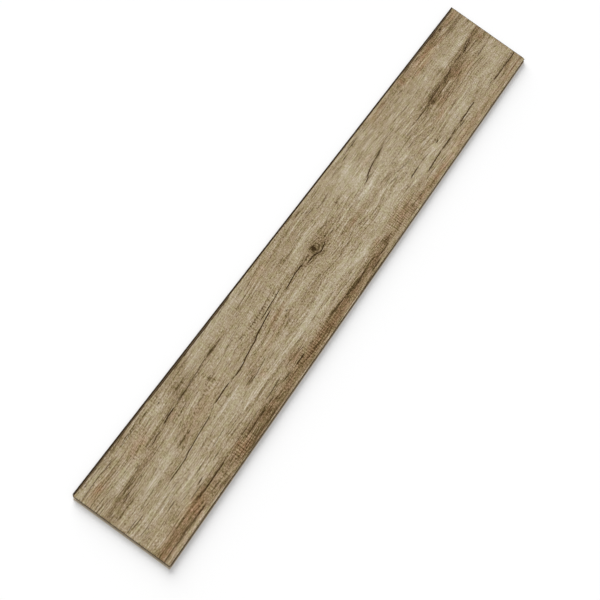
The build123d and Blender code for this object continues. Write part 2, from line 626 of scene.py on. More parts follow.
@dataclass(frozen=True)
class ClickJoint:
    """The joint's two sections, in millimetres: how far out of the joint plane, and how high."""

    thickness: float = 8.0
    bevel_width: float = 1.0
    bevel_depth: float = 0.8
    tongue_reach: float = 3.2
    tongue_top: float = 5.2
    tongue_belly: float = 2.4
    nose_radius: float = 0.7
    belly_start: float = 0.9
    lock_height: float = 0.7
    lock_angle: float = 50.0
    heel_setback: float = 0.1
    ridge_width: float = 0.75
    recess_headroom: float = 0.25
    lip_reach: float = 2.2
    lip_end_gap: float = 0.2
    lip_chamfer: float = 0.5
    lip_relief: float = 0.3
    relief_length: float = 5.2
    relief_ramp: float = 0.6
    fit_gap: float = 0.05
    dust_pocket: float = 0.3
    pocket_floor: float = 3.3
    pocket_radius: float = 0.5
    recess_radius: float = 0.3
    arc_steps: int = 8

    def arc(self, centre: Point2, start: Point2, end: Point2, rightwards: bool) -> list[Point2]:
        """Points along an arc after its start.

        Args:
            centre: The arc's centre.
            start: Its first point.
            end: Its last point.
            rightwards: Whether it turns clockwise.

        Returns:
            The points, with the end and without the start.
        """
        first = math.atan2(start[1] - centre[1], start[0] - centre[0])
        last = math.atan2(end[1] - centre[1], end[0] - centre[0])
        turn = last - first
        if rightwards and turn > 0:
            turn -= math.tau
        if not rightwards and turn < 0:
            turn += math.tau
        radius = math.dist(centre, start)
        angles = [first + turn * step / self.arc_steps for step in range(1, self.arc_steps + 1)]
        return [(centre[0] + radius * math.cos(a), centre[1] + radius * math.sin(a)) for a in angles]

    @property
    def lock_run(self) -> float:
        """How far the lock's slope runs out for each millimetre of height."""
        return 1 / math.tan(math.radians(self.lock_angle))

    @property
    def belly_radius(self) -> float:
        """The radius of the tongue's belly."""
        drop = self.tongue_top - self.nose_radius - self.tongue_belly
        return ((self.tongue_reach - self.belly_start) ** 2 + drop**2) / (2 * drop)

    def tongue_side(self) -> list[Point2]:
        """The section down the tongue side.

        Returns:
            Its points, from the decor's edge to the underside.
        """
        nose_start = self.tongue_reach - self.nose_radius
        nose_end = self.tongue_top - self.nose_radius
        roof = self.tongue_belly + self.lock_height + self.recess_headroom
        lock_top = -self.heel_setback - (roof - self.tongue_belly) * self.lock_run
        cut_back = -(self.lip_reach + self.lip_end_gap)
        points = [
            (-self.bevel_width, self.thickness),
            (0.0, self.thickness - self.bevel_depth),
            (0.0, self.tongue_top),
            (nose_start, self.tongue_top),
        ]
        nose = (self.tongue_reach, nose_end)
        points += self.arc((nose_start, nose_end), points[-1], nose, True)
        belly = (self.belly_start, self.tongue_belly)
        points += self.arc((self.belly_start, self.tongue_belly + self.belly_radius), nose, belly, True)
        points += [
            (-self.heel_setback, self.tongue_belly),
            (lock_top, roof),
            (cut_back + self.recess_radius, roof),
        ]
        wall = (cut_back, roof - self.recess_radius)
        points += self.arc((cut_back + self.recess_radius, wall[1]), points[-1], wall, False)
        return points + [(cut_back, 0.0)]

    def groove_side(self) -> list[Point2]:
        """The section down the groove side.

        Returns:
            Its points, from the decor's edge to the underside.
        """
        roof = self.tongue_top + self.fit_gap
        back = -(self.tongue_reach + self.dust_pocket)
        seat = self.tongue_belly - self.fit_gap
        seat_radius = self.belly_radius + self.fit_gap
        rise = seat_radius - (self.pocket_floor - seat)
        seat_end = -self.belly_start - math.sqrt(seat_radius**2 - rise**2)
        slope = math.radians(self.lock_angle)
        foot = self.heel_setback + self.fit_gap / math.sin(slope) - self.fit_gap * self.lock_run
        top = self.tongue_belly + self.lock_height
        ridge_start = foot + (top - seat) * self.lock_run
        ridge_end = ridge_start + self.ridge_width
        relief_end = self.lip_reach - self.relief_length
        points = [
            (-self.bevel_width, self.thickness),
            (0.0, self.thickness - self.bevel_depth),
            (0.0, roof),
            (back + self.pocket_radius, roof),
        ]
        wall = (back, roof - self.pocket_radius)
        points += self.arc((back + self.pocket_radius, wall[1]), points[-1], wall, False)
        points += [(back, self.pocket_floor + self.pocket_radius), (seat_end, self.pocket_floor)]
        level = (-self.belly_start, seat)
        points += self.arc((-self.belly_start, seat + seat_radius), points[-1], level, False)
        return points + [
            (foot, seat),
            (ridge_start, top),
            (ridge_end, top),
            (self.lip_reach, top - (self.lip_reach - ridge_end)),
            (self.lip_reach, self.lip_relief + self.lip_chamfer),
            (self.lip_reach - self.lip_chamfer, self.lip_relief),
            (relief_end, self.lip_relief),
            (relief_end - self.relief_ramp, 0.0),
        ]

    def section(self, width: float) -> list[Point2]:
        """The closed section across a board, tongue on the right.

        Args:
            width: The distance between the board's joint planes.

        Returns:
            Its corners in order, in millimetres.
        """
        right = [(width / 2 + out, up) for out, up in self.tongue_side()]
        left = [(-width / 2 - out, up) for out, up in self.groove_side()]
        return right + left[::-1]


@dataclass(frozen=True)
class WoodFigure:
    """The wood's figure, as a sketch in millimetres from the middle of the decor.

    Along runs to the tongue end, and across to the tongue side. Rows are laid out like this:

    - a knot: along, across, radius, length;
    - a wave of the fibres: height, length along, length across, phase;
    - a split, streak or row of dabs: strength, and then its points, along and across by turns;
    - a band: dark, warm, pale, half width, and then its points;
    - a patch: along, across, half length, half width, dark, warm, pale, without the last zeros;
    - a sawn place: along, across, half length, half width, strength;
    - a taper: the longest fade, its longest share of the line, and how far beyond the line's end
      it starts, in millimetres and as a share of the fade.

    SHEETS is how many attributes of three columns the splits take, and REACH is how far from a
    split its distance is kept.
    """

    SHEETS = 2
    REACH = 4.5

    knots: tuple = ((-33, 23, 8.0, 1.9), (-518, 84, 4.0, 4.0))
    knot_core: float = 0.9
    waves: tuple = ((1.2, 47.0, 60.0, 0.0), (0.7, 19.0, -35.0, 1.0))
    climb: float = 34.0
    climb_along: Edges = (-660, 60)
    climb_across: Edges = (-90, 60)
    seed: int = 11
    split_wander: float = 0.22
    wander_step: int = 4
    split_taper: tuple = (10.0, 0.35, 0.5, 0.0)
    split_end: float = 0.25
    split_edge: float = 0.6
    halo: float = 0.16
    halo_width: float = 3.0
    patch_climb: float = 0.05
    patch_climb_above: float = -50.0
    band_spacing: float = 12.0
    band_reach: float = 2.4
    band_taper: tuple = (40.0, 0.4, 0.0, 0.3)
    dab_weight: float = 0.9
    dab_slant: float = 0.3
    dab_half: Point2 = (1.7, 2.2)
    streak_weight: float = 1.2
    streak_half: float = 1.3
    streak_reach: float = 4.0
    streak_taper: tuple = (12.0, 0.4, 0.0, 0.0)
    saw_least: float = 0.09
    splits: tuple = (
        # Painted shade: this row and the next are not cracks but dark lines along the decor's edge on the
        # tongue side, darkening the edge that the lamp lights.
        (0.7, -640, 95.1, -580, 95.1, -520, 95, -450, 94.8),
        (1, -450, 94.6, -380, 94.4, -320, 94.2, -260, 94.4, -205, 94.8),
        (0.35, 182, -18, 196, -22, 209, -25),
        (0.7, -534, -15.3, -514, -14.6, -488, -13.6, -476, -11.5, -463, -10.1, -450, -8.6, -439, -7.1, -410,
         -4.9, -399, -3.1),
        (0.45, -399, -3.1, -391, -0.6, -384, 1.4),
        (0.5, 208, 31.8, 223, 34.7, 242, 37.5),
        (0.95, -384, 1.4, -373, 1.8, -351, 3, -333, 2.7),
        (0.5, -333, 2.7, -322, 2.3, -312, 1.9),
        (0.35, 203, -13, 240, -22, 267, -26),
        (0.3, 290, -27, 321, -26),
        (0.3, -640, -31, -622, -31, -604, -31),
        (0.3, -640, -37, -620, -37, -602, -37),
        (0.25, -586, -30, -558, -31, -530, -31),
        (0.3, -572, -41, -551, -41),
        (0.25, -640, -43, -612, -43),
        (0.3, -520, -36, -498, -35),
        # Painted shade: this row is not a crack but a dark line along the decor's edge on the tongue side,
        # darkening the edge that the lamp lights.
        (0.8, 415, 94.7, 470, 94.4, 520, 94.1, 560, 94.1, 600, 94.5, 638, 94.8),
        (0.6, -508, 43.6, -498, 44.9, -486, 46.9, -470, 47.3),
        (1, -465, 48.9, -450, 52, -439, 53, -426, 53.4),
        (0.55, -423, 54.1, -415, 55, -404, 55.6, -388, 56, -379, 57.2, -367, 57.8, -352, 58.4, -346, 60.1,
         -336, 60.8, -321, 61.4),
        (0.5, -640, 80.8, -629, 81.2, -617, 81.7, -600, 82.4, -588, 82.2, -580, 81.1, -571, 81.7, -555,
         82.6),
        (0.4, -640, 29.3, -632, 29.5, -621, 29.3),
        (0.5, -644, -8.9, -629, -8.5, -617, -8.5, -608, -9.3),
        (0.5, -633, -12.1, -608, -12.8, -596, -12.3),
        (0.35, -606, -5.3, -594, -4.2, -579, -2.9, -562, -2.3, -554, -2.9),
        (0.75, -511, -56.1, -502, -55.3, -495, -54.9),
        (0.55, -468, -53.1, -454, -52.7, -439, -52.5),
        (0.5, -574, -40.5, -564, -40.5, -551, -40.7),
        (0.45, -540, -60.9, -515, -60, -502, -60.2),
        (0.5, -542, -66, -532, -67.8, -519, -68.6, -509, -69.1),
        (0.75, -511, -70.7, -494, -70.1, -475, -69.5, -461, -69.5, -449, -68.3),
        (0.55, -647, -84.6, -618, -84.1, -595, -84.8, -580, -84.1, -559, -85.2, -524, -84.8),
        (0.45, -402, -67.7, -390, -67.1, -369, -65.9, -358, -65.9, -340, -66.1),
        (0.5, -417, -83.8, -399, -82.8, -382, -82.1, -367, -80.2),
        (0.8, -441, 78.7, -438, 78.5, -436, 78.3),
        (0.6, -621, 90.4, -619, 90.2, -615, 90),
        (0.55, -584, 33.8, -582, 32.9, -579, 31.7),
        (0.55, -556, 28, -554, 27.6, -552, 27.2),
        (0.5, -529, 85.2, -521, 86.8, -517, 87.8, -509, 86.2, -505, 84.5),
        (0.45, -540, 84.8, -530, 83.7, -519, 84.5, -505, 85, -488, 84.1),
        (0.4, -549, 43.3, -548, 44.3, -546, 45.5),
        (0.45, -549, 40.4, -544, 40.6, -539, 40.6),
        (0.4, -406, 22.2, -397, 24.8, -378, 25),
        (0.4, -478, 19, -468, 20.2, -458, 21.1),
        (0.5, -607, 25, -597, 24.8, -584, 25.9),
        (0.4, -630, 16.1, -613, 15.7, -599, 15.2, -582, 15.7),
        (0.4, -447, -39.8, -430, -38.4, -403, -36.8),
        (0.35, -471, -5.2, -459, -8.8),
        (1, -322, 0.7, -308, 1.8, -293, 3, -283, 5.2, -270, 7.1, -258, 8.9, -246, 9.9, -235, 13.3, -222,
         15.1, -208, 17.2, -193, 19.4, -179, 20.2),
        (0.9, -190, 24.9, -182, 25.5, -174, 26.3),
        (0.75, -212, 24.1, -199, 24.5, -190, 24.9, -180, 25.7, -169, 26.7, -157, 27.5, -149, 28.7, -141,
         29.5, -135, 29.7),
        (1, -134, 19.8, -124, 21.2, -114, 22, -103, 23.7, -93, 24.8, -82, 24.4, -72, 24, -65, 24.6),
        (0.5, -64, 25, -55, 25.6, -46, 26.1),
        (0.9, -61, 17.3, -51, 16.7, -43, 16.9, -37, 15.2, -30, 12.4, -26, 10.5, -22, 10.5, -16, 11.8, -12,
         13.3, -9, 12.9, -1, 16.2),
        (0.45, -322, 60.2, -302, 60.2, -275, 61.2),
        (0.6, -263, 33.6, -257, 33, -252, 33),
        (0.3, -324, 25.4, -313, 25.6, -303, 26.2),
        (0.45, -321, -25.8, -313, -26.5, -300, -26.9, -286, -25.8, -273, -23.7, -256, -21.5),
        (0.7, -167, -3.3, -165, -3, -160, -2.8),
        (0.4, -183, -15.7, -175, -15.7, -167, -15.5),
        (0.6, -327, -66.3, -306, -65.9, -289, -65.3, -272, -64.4),
        (0.6, -327, -73.9, -318, -74.2, -308, -74.2),
        (0.5, -271, -73.8, -262, -74.1, -251, -74.1),
        (0.95, -241, -74.8, -224, -74.5, -208, -73.8),
        (0.4, -201, -73, -189, -72.8, -176, -72.6),
        (0.5, -222, -62.3, -209, -64.4, -193, -69),
        (0.5, -126, -72.3, -109, -73.2, -97, -73.8, -80, -74.7),
        (0.3, -125, -15, -108, -11.7, -85, -12.9, -56, -14.3),
        (0.35, -129, -31.1, -117, -31.5, -100, -31.5),
        (0.3, -92, -34.3, -77, -33.6, -65, -33.2),
        (0.35, -117, -52.5, -92, -52.9, -67, -52.9),
        (0.6, -95, -60.4, -93, -60.7, -91, -60.7),
        (0.35, -88, -61.1, -55, -62.6, -34, -63.2, -4, -65),
        (0.45, -96, 81.6, -93, 82, -91, 81.8),
        (0.4, -168, 64.1, -167, 62, -166, 60.3),
        (0.55, -27, 43.4, -25, 43.2, -23, 43.4),
        (0.45, -75, -44.8, -69, -45.2),
        (0.45, -213, -60.5, -206, -60.3),
        (0.3, -44, 55.5, -32, 56.6, -17, 56),
        (0.35, -209, -29, -196, -32.2, -192, -33.3),
        (0.95, 152, 19.9, 161, 21.6, 168, 23, 172, 25.2),
        (1, 163, 25, 171, 26, 177, 27.8, 186, 29.9, 198, 31.7, 208, 32.3),
        (0.35, 213, 32.9, 219, 33.3, 230, 34.9, 244, 36.8, 261, 39.8),
        (0.85, 219, -47.4, 227, -46.4, 240, -45.9, 259, -44.6),
        (0.4, 261, -44.4, 271, -44.2, 290, -44.2),
        (0.4, 201, -50.6, 206, -48.5),
        (0.95, 257, -66.8, 269, -66.4, 280, -65.5, 294, -64.8, 307, -64.4, 322, -63.8),
        (0.45, 11, 83.8, 18, 81.7, 22, 77.9),
        (0.6, 20, 77.5, 22, 77.2, 24, 76.6),
        (0.4, 26, 74.1, 32, 71.5, 38, 69.4),
        (0.45, 39, 67.3, 44, 65.2, 53, 64.1, 67, 63.9, 76, 66.2, 84, 67.4),
        (0.6, 9, 17.2, 23, 16.8, 33, 17.4),
        (0.35, 38, 17.8, 50, 18.2, 63, 19),
        (0.5, 78, 45, 79, 41.8, 78, 38.3),
        (0.35, 65, 31.1, 71, 34.3, 77, 37.9),
        (0.35, 80, 37.5, 86, 33.2, 90, 31.1),
        (0.5, 13, 58.3, 16, 58.1, 20, 57.5),
        (0.45, 77, 14.5, 88, 14.7, 98, 14.9),
        (0.3, 102, 15.1, 127, 16.2, 144, 17.3),
        (0.3, 31, -14.9, 60, -14.4, 81, -13, 115, -10.8, 152, -9.4),
        (0.35, 198, -8.8, 202, -8.4, 208, -8.6),
        (0.4, 183, -15.5, 196, -20.2, 215, -24.8),
        (0.35, 219, -18, 238, -20.2, 261, -23.3),
        (0.4, 142, -27, 147, -27, 153, -26.6),
        (0.45, 290, 8.9, 305, 9.5, 322, 9.9),
        (0.6, 214, 17.5, 215, 17.1, 217, 16.7),
        (0.45, 159, 86.5, 178, 87, 199, 87.6, 232, 88.3),
        (0.7, 165, 82.3, 171, 82.1, 176, 82.8),
        (0.35, 115, 78, 128, 80.1, 149, 81.2),
        (0.8, 203, 87, 206, 86, 208, 85.3),
        (0.3, 219, 68.7, 240, 70, 261, 71.7),
        (0.6, 36, -83.2, 55, -83.7, 78, -83.2),
        (0.55, 9, -89.6, 24, -89, 38, -88.6),
        (0.4, 114, -82.6, 122, -82.2),
        (0.75, 199, -81.6, 204, -81.4, 209, -81.6),
        (0.6, 212, -81.4, 219, -81.4),
        (0.5, 243, -59.3, 248, -59.5),
        (0.3, 200, -58.5, 219, -59.9),
        (0.6, 371, 20.2, 376, 19.8, 381, 20.2),
        (0.5, 411, 19.6, 421, 21.1, 430, 22.4, 438, 21.1, 446, 21.8, 465, 23.3),
        (0.55, 403, 13.6, 415, 16, 425, 14.9, 438, 16, 451, 17.5, 458, 18.6),
        (0.65, 467, 16.2, 476, 19.3, 488, 18.6, 501, 20.3, 513, 21.9),
        (0.7, 459, 12.2, 467, 12.6, 478, 13.2),
        (0.6, 516, 20.8, 530, 21.9, 543, 21.2, 557, 23.4),
        (0.75, 555, 18.4, 568, 20.8, 578, 23, 591, 24, 603, 26.2),
        (0.6, 561, 22.9, 578, 26.1, 595, 29.3, 606, 27.7),
        (0.5, 607, 28.9, 624, 30.3, 643, 30.7),
        (0.35, 463, 33.1, 473, 33.5, 486, 33.6),
        (1, 321, -63.8, 333, -63.8, 346, -63.8, 363, -63.6),
        (0.8, 365, -63, 373, -62.6, 385, -62.4),
        (0.9, 401, -62.4, 413, -61.6, 430, -61.8, 447, -60.8, 468, -60.2, 472, -58.5),
        (0.7, 391, -66.8, 405, -67, 417, -67.4),
        (0.4, 426, -66.9, 441, -66.3),
        (0.35, 362, -58.6, 382, -57.7),
        (0.85, 543, -67.7, 573, -68.3, 615, -68.8, 644, -68.8),
        (0.5, 531, -65.1, 541, -64.7),
        (0.85, 325, -45.4, 331, -45.7, 337, -45.2),
        (0.5, 343, -44.8, 348, -44.3),
        (0.7, 341, 10.6, 345, 11.7, 354, 12.1, 369, 12.3, 378, 12.7),
        (0.45, 426, -8.2, 436, -8),
        (0.5, 439, -8.6, 442, -8.6),
        (0.5, 449, -8.4, 455, -8.2),
        (0.5, 462, -8.4, 468, -8.6),
        (0.45, 473, -8.4, 488, -7.1, 499, -4.6),
        (0.5, 570, -10.5, 589, -9.1, 612, -7.5),
        (0.35, 411, -31.8, 430, -29, 455, -26.8),
        (0.45, 617, -25.3, 623, -27.5, 630, -30),
        (0.6, 615, -60.3, 617, -61.5, 619, -62.7),
        (0.35, 398, 75.8, 404, 76.2),
        (0.5, 451, 67.4, 456, 67.7, 471, 68.8),
        (0.45, 377, 74, 381, 74, 386, 74.6),
        (0.6, 567, 89.1, 572, 88.7, 578, 89.1),
        (0.45, 550, 81, 558, 79.3, 565, 80.1),
        (0.35, 567, 74.6, 592, 72.5, 617, 74.2, 642, 74.7),
        (0.4, 590, 67.9, 613, 68.7, 642, 67.2),
        (0.35, 529, 67.1, 534, 64.1, 549, 63.1),
        (0.4, 520, 51.1, 527, 47.3),
        (0.4, 606, 12.5, 622, 14.3, 635, 15.5),
        (0.35, 573, 56.7, 579, 57.1),
        (0.35, 387, 55.3, 393, 55.7),
        (0.45, 588, -85.9, 603, -85.6, 617, -86.3),
        (0.35, 450, 47.5, 457, 50.6),
        (0.35, 321, -14.8, 325, -15.8),
        (0.35, 333, -25.5, 352, -24.7),
    )
    streaks: tuple = (
        (0.7, -636, -61.8, -621, -62.2, -605, -62.8),
        (0.5, -447, -39.8, -418, -39.4, -397, -37.6),
        (0.5, -510, -58.1, -490, -57),
        (0.5, -368, -45.1, -347, -43.7, -325, -39.7),
        (0.45, -414, 26.9, -395, 29.1, -374, 31.6),
        (0.4, -520, 26.4, -478, 28.1, -445, 32.8),
        (0.4, -401, -17.3, -359, -15.2, -325, -11.9),
        (0.5, -313, -28.8, -294, -28.4, -273, -26.4, -250, -21.5),
        (0.5, -252, -9.1, -231, -7.6, -208, -5.8),
        (0.6, -204, -3.3, -179, -0.5, -158, 0.3, -137, 1.5, -116, 4.3),
        (0.5, -172, 13.7, -158, 14.3, -137, 15.3),
        (0.45, -209, -39.7, -180, -50.4, -146, -49.3),
        (0.4, -36, 62.6, -19, 63, -2, 62.6),
        (0.4, -40, -63.2, -13, -62.2),
        (0.55, 87, 2.3, 110, 7.2, 144, 8.8),
        (0.5, -3, -13.8, 10, -10.6, 20, -7.4),
        (0.4, 53, 60.5, 69, 60.5, 82, 62),
        (0.4, 156, -18.1, 181, -18.4),
        (0.4, 290, -28.7, 320, -26.9),
        (0.4, 224, 69.6, 249, 72.1, 276, 71.7),
        (0.8, 572, 82.5, 580, 82.3, 587, 82.7),
        (0.7, 526, 69.4, 532, 69.2, 539, 70.3),
        (0.7, 492, 36.1, 503, 36.1, 516, 35.7),
        (0.5, 430, 4, 451, 4.5, 488, 5.3),
        (0.5, 401, -33, 415, -31.8),
        (0.45, 556, -55.4, 581, -56.5),
        (0.4, 536, 61, 548, 59.6),
        (0.4, 485, -43.2, 514, -43.6),
        (0.4, 554, 81, 565, 80.5),
    )
    dabs: tuple = (
        (0.5, -228, 32.6, -222, 32.2, -217, 30.4, -214, 33.2, -210, 30, -207, 32.6, -199, 30.9, -190, 30,
         -184, 31.8, -180, 32.6, -175, 30.9, -169, 33.6, -151, 33, -148, 36.5, -138, 34.2, -130, 32.6),
        (0.5, -353, 35.4, -351, 32.5, -354, 25.6, -364, 25.4, -347, 27.4, -340, 32.5, -372, 25.6, -381,
         22.6, -365, 32.5),
        (0.4, -474, 13.1, -473, 7.2, -476, 0.8, -425, 9.4, -416, 20, -462, 5.6, -448, 9),
        (0.35, 143, -57.1, 142, -63.1, 141, -74, 134, -77.2, 168, -70.7, 174, -78.2, 222, 38.7, 240, 36.1),
        (0.35, -302, -8.7, -294, -8.3, -250, -15.1, -174, -8.2, -52, 41.2, -84, 73.5),
        (0.4, -402, 79.5, -519, 89, -558, -48.5, -591, -49.5, -644, -54.9, -585, 43.3, -575, -49.5),
    )
    patches: tuple = (
        (-617, 70, 35, 8, 0.18, 0.35), (-611, 70, 9, 5, 0, 0.5), (-518, 64, 29, 10, 0.05, 0.35),
        (-514, 57, 12, 4, 0, 0.4), (-631, 33, 27, 5, 0.34, 0.1), (-594, 33, 29, 6, 0.32, 0.1),
        (-557, 38, 29, 5, 0.18, 0.1), (-602, 25, 19, 2, 0.4, 0.1), (-606, 16, 25, 2, 0.45, 0.1),
        (-528, 34, 25, 5, 0.3, 0.1), (-575, 49, 27, 8, 0, 0, 0.45), (-554, 5, 33, 9, 0, 0, 0.5),
        (-502, 11, 23, 7, 0, 0, 0.55), (-529, -10, 27, 5, 0.22, 0.1), (-458, 7, 23, 8, 0.14, 0.1),
        (-406, 14, 50, 12, 0.05, 0.25), (-440, 46, 10, 3, 0.1, 0.45), (-636, -76, 23, 8, 0.3, 0.6),
        (-586, -74, 50, 11, 0.08, 0.45), (-538, -74, 23, 10, 0.06, 0.6), (-591, -89, 42, 3, 0, 0.15, 0.35),
        (-532, -67, 29, 4, 0.22, 0.3), (-473, -69, 42, 2, 0.18, 0.1), (-514, -46, 33, 6, 0, 0, 0.4),
        (-413, -82, 23, 7, 0.1, 0.65), (-495, -83, 27, 8, 0.05, 0.1, 0.05), (-403, -90, 88, 2, 0.5, 0.2),
        (-416, -71, 9, 3, 0.22, 0.5), (-373, -74, 25, 3, 0.45, 0.2), (-396, 70, 23, 10, 0.3, 0.05),
        (-366, 84, 19, 6, 0.15, 0.1), (-342, 75, 27, 12, 0, 0, 0.35), (-451, 75, 23, 7, 0, 0, 0.4),
        (-600, 89, 38, 6, 0, 0, 0.35), (-525, 91, 27, 3, 0.12, 0.1), (-349, -18, 42, 10, 0, 0, 0.35),
        (-543, -29, 54, 10, 0, 0, 0.25), (-340, -81, 27, 5, 0.3, 0.4), (-386, -29, 50, 8, 0, 0, 0.2),
        (-438, -18, 62, 3, 0, 0, 0.35), (-558, 94, 83, 2, 0.15), (-624, -42, 31, 12, 0.02, 0.05),
        (-300, 61, 31, 2, 0.45, 0.2), (-189, 5, 27, 6, 0.25, 0.5), (-227, -12, 33, 7, 0.1, 0.3),
        (-284, -35, 10, 6, 0, 0.5), (-313, -24, 17, 3, 0.4, 0.3), (-298, -12, 33, 7, 0.15, 0.15),
        (-226, -63, 19, 9, 0.3, 0.55), (-181, -81, 62, 9, 0.32, 0.5), (-275, -81, 52, 6, 0.3, 0.3),
        (-86, -82, 79, 9, 0.28, 0.45), (-101, -74, 42, 2, 0.45, 0.1), (-42, -77, 42, 3, 0.48, 0.1),
        (-38, -79, 33, 3, 0.45, 0.1), (-84, -88, 19, 3, 0, 0.3, 0.3), (-306, -90, 54, 2, 0.4, 0.1),
        (-135, 80, 42, 8, 0.08, 0.3), (-86, 80, 27, 2, 0.35, 0.1), (-98, 58, 25, 4, 0.2, 0.1),
        (-44, 83, 15, 2, 0.35), (-10, 95, 12, 2, 0.35), (-28, 50, 31, 5, 0, 0, 0.45),
        (-68, 37, 19, 8, 0, 0, 0.25), (-36, 69, 35, 5, 0.12, 0.1), (-163, -45, 46, 8, 0, 0, 0.45),
        (-48, -42, 48, 5, 0, 0, 0.4), (-107, -42, 42, 6, 0, 0, 0.5), (-116, -1, 35, 6, 0, 0, 0.3),
        (-92, -16, 42, 3, 0.22, 0.05), (-86, 57, 2, 8, 0.2), (-31, 23, 25, 12, 0.28, 0.05),
        (-30, 25, 6, 6, 1.5, 0.05), (-24, 6, 8, 2, 0.55, 0.1), (-53, 22, 21, 8, 0.12, 0.1),
        (-14, 24, 12, 10, 0.18, 0.1), (-78, 29, 25, 2, 0.25), (-260, 86, 54, 9, 0, 0, 0.35),
        (-193, 84, 33, 10, 0, 0, 0.3), (-255, 20, 62, 4, 0.03, 0.05), (-229, -25, 19, 12, 0, 0, 0.2),
        (-179, -10, 27, 4, 0.15, 0.15), (-13, -63, 12, 2, 0, 0.3, 0.3), (-65, -55, 17, 3, 0, 0.2, 0.1),
        (-286, 47, 38, 8, 0, 0, 0.2), (-219, 44, 42, 5, 0, 0, 0.2), (2, 25, 12, 15, 0.18, 0.1),
        (27, 31, 25, 7, 0.22, 0.1), (2, 8, 10, 5, 0.24, 0.1), (78, 40, 5, 5, 0.25, 0.1),
        (76, 33, 12, 3, 0.12, 0.05), (5, 89, 12, 3, 0.3, 0.2), (60, -5, 40, 6, 0.25, 0.2),
        (69, -5, 8, 3, 0.1, 0.4), (192, -7, 27, 4, 0.35, 0.1), (133, -7, 52, 5, 0.12, 0.1),
        (140, 10, 38, 5, 0, 0, 0.4), (144, 31, 33, 12, 0, 0, 0.3), (238, 38, 25, 3, 0.35, 0.05),
        (20, -79, 25, 8, 0.42, 0.35), (57, -65, 15, 5, 0.15, 0.5), (80, -76, 15, 5, 0.4, 0.2),
        (51, -80, 33, 6, 0.3, 0.3), (114, -80, 35, 8, 0.3, 0.25), (152, -74, 27, 8, 0.25, 0.5),
        (131, -63, 25, 6, 0.15, 0.35), (202, -80, 12, 6, 0.35, 0.3), (259, -86, 69, 5, 0.36, 0.6),
        (225, -67, 19, 4, 0.3, 0.1), (179, -65, 19, 5, 0.2, 0.3), (265, -55, 54, 7, 0, 0, 0.4),
        (20, -57, 33, 5, 0, 0, 0.4), (9, -50, 25, 6, 0, 0, 0.2), (165, -39, 46, 5, 0, 0, 0.3),
        (286, 86, 12, 7, 0.05, 0.4), (263, 96, 12, 2, 0.4, 0.1), (294, 70, 29, 12, 0.1, 0.1),
        (148, 62, 25, 8, 0, 0, 0.5), (103, 55, 33, 8, 0, 0, 0.2), (53, 76, 42, 6, 0.05, 0, 0.1),
        (307, 87, 19, 3, 0.15, 0.35), (242, -78, 21, 3, 0.3, 0.2), (196, 45, 19, 3, 0, 0.3),
        (238, 87, 19, 3, 0, 0, 0.3), (111, 86, 25, 6, 0.05, 0.1), (284, -29, 12, 8, 0.15, 0.1),
        (244, 16, 42, 10, 0.05, 0, 0.05), (404, 86, 12, 10, 0.15, 0.55), (483, 78, 60, 11, 0.07, 0.5),
        (509, 83, 25, 6, 0.12, 0.4), (459, 70, 29, 3, 0.1, 0.5), (548, 93, 12, 3, 0.6, 0.1),
        (572, 89, 8, 2, 0.5, 0.1), (621, 86, 29, 5, 0.12, 0.55), (605, 72, 46, 4, 0.4, 0.15),
        (557, 76, 21, 4, 0.3, 0.3), (503, 43, 21, 9, 0, 0.05, 0.5), (565, 39, 40, 5, 0, 0, 0.55),
        (446, 52, 19, 8, 0, 0, 0.35), (404, 18, 40, 5, 0.28, 0.1), (455, 17, 38, 6, 0.24, 0.15),
        (501, 18, 40, 7, 0.32, 0.2), (568, 23, 46, 5, 0.4, 0.2), (407, 10, 8, 5, 0.5, 0.1),
        (419, -3, 19, 10, 0.15, 0.5), (505, 2, 23, 12, 0.2, 0.5), (390, -20, 19, 5, 0, 0.5),
        (541, -5, 17, 8, 0.05, 0.45), (622, 12, 12, 9, 0.15, 0.5), (626, 27, 23, 4, 0.35, 0.4),
        (457, -8, 42, 5, 0.25, 0.3), (455, 8, 62, 6, 0.15, 0.2), (476, -85, 167, 8, 0.08, 0.3),
        (609, -73, 31, 5, 0.3, 0.4), (405, -48, 54, 8, 0, 0, 0.4), (489, -39, 62, 8, 0, 0, 0.3),
        (583, -46, 50, 8, 0, 0, 0.25), (533, -62, 21, 3, 0, 0, 0.4), (487, -68, 21, 5, 0.1),
        (641, 2, 4, 88, 0.3, 0.1), (356, 51, 42, 19, 0, 0, 0.15), (602, -22, 33, 12, 0, 0, 0.15),
        (384, -79, 50, 6, 0.1, 0.25), (333, -11, 25, 10, 0.15, 0.05), (329, 89, 12, 5, 0.2, 0.3),
        (603, -86, 35, 2, 0.15, 0.5), (354, -59, 12, 4, 0.2), (447, -22, 42, 5, 0, 0.2),
        (-637, 5, 11, 92, 0.07), (180, 26.5, 20, 2.5, 0.3, 0.05), (216, 33, 18, 3, 0.3, 0.1),
        (-290, -28, 16, 6, 0.15), (-532, 12, 16, 6, 0.15), (-538, 88, 14, 5, 0.14), (-151, 15, 14, 5, 0.14),
        (242, -89, 16, 5, 0.14), (85, 89, 16, 5, -0.14), (212, -47, 16, 5, -0.14), (488, -85, 16, 5, -0.12),
        (525, 89, 30, 7, 0.24, 0.1), (575, 89, 30, 6, 0.14, 0.1), (533, 77, 14, 5, 0.2),
        (-350, 90, 25, 7, 0.25, 0.05), (-145, 20, 25, 5, 0.2), (338, 90, 35, 7, 0.2, 0.05),
        (262, 90, 12, 6, 0.14), (168, -88, 35, 6, 0.22, 0.1), (-410, 41, 15, 6, 0.2),
        (-412, 17, 15, 5, 0.18), (636, -89, 12, 7, 0.2), (222, -10, 16, 6, 0.18), (-338, -11, 15, 5, 0.18),
        (-630, 18, 12, 6, 0.17), (25, -88, 45, 6, 0.15, 0.05), (-376, -20, 14, 5, 0.17),
        (-314, -38, 14, 5, 0.17), (-32, -55, 16, 6, 0.17), (108, -22, 28, 7, -0.2), (165, -51, 26, 7, -0.2),
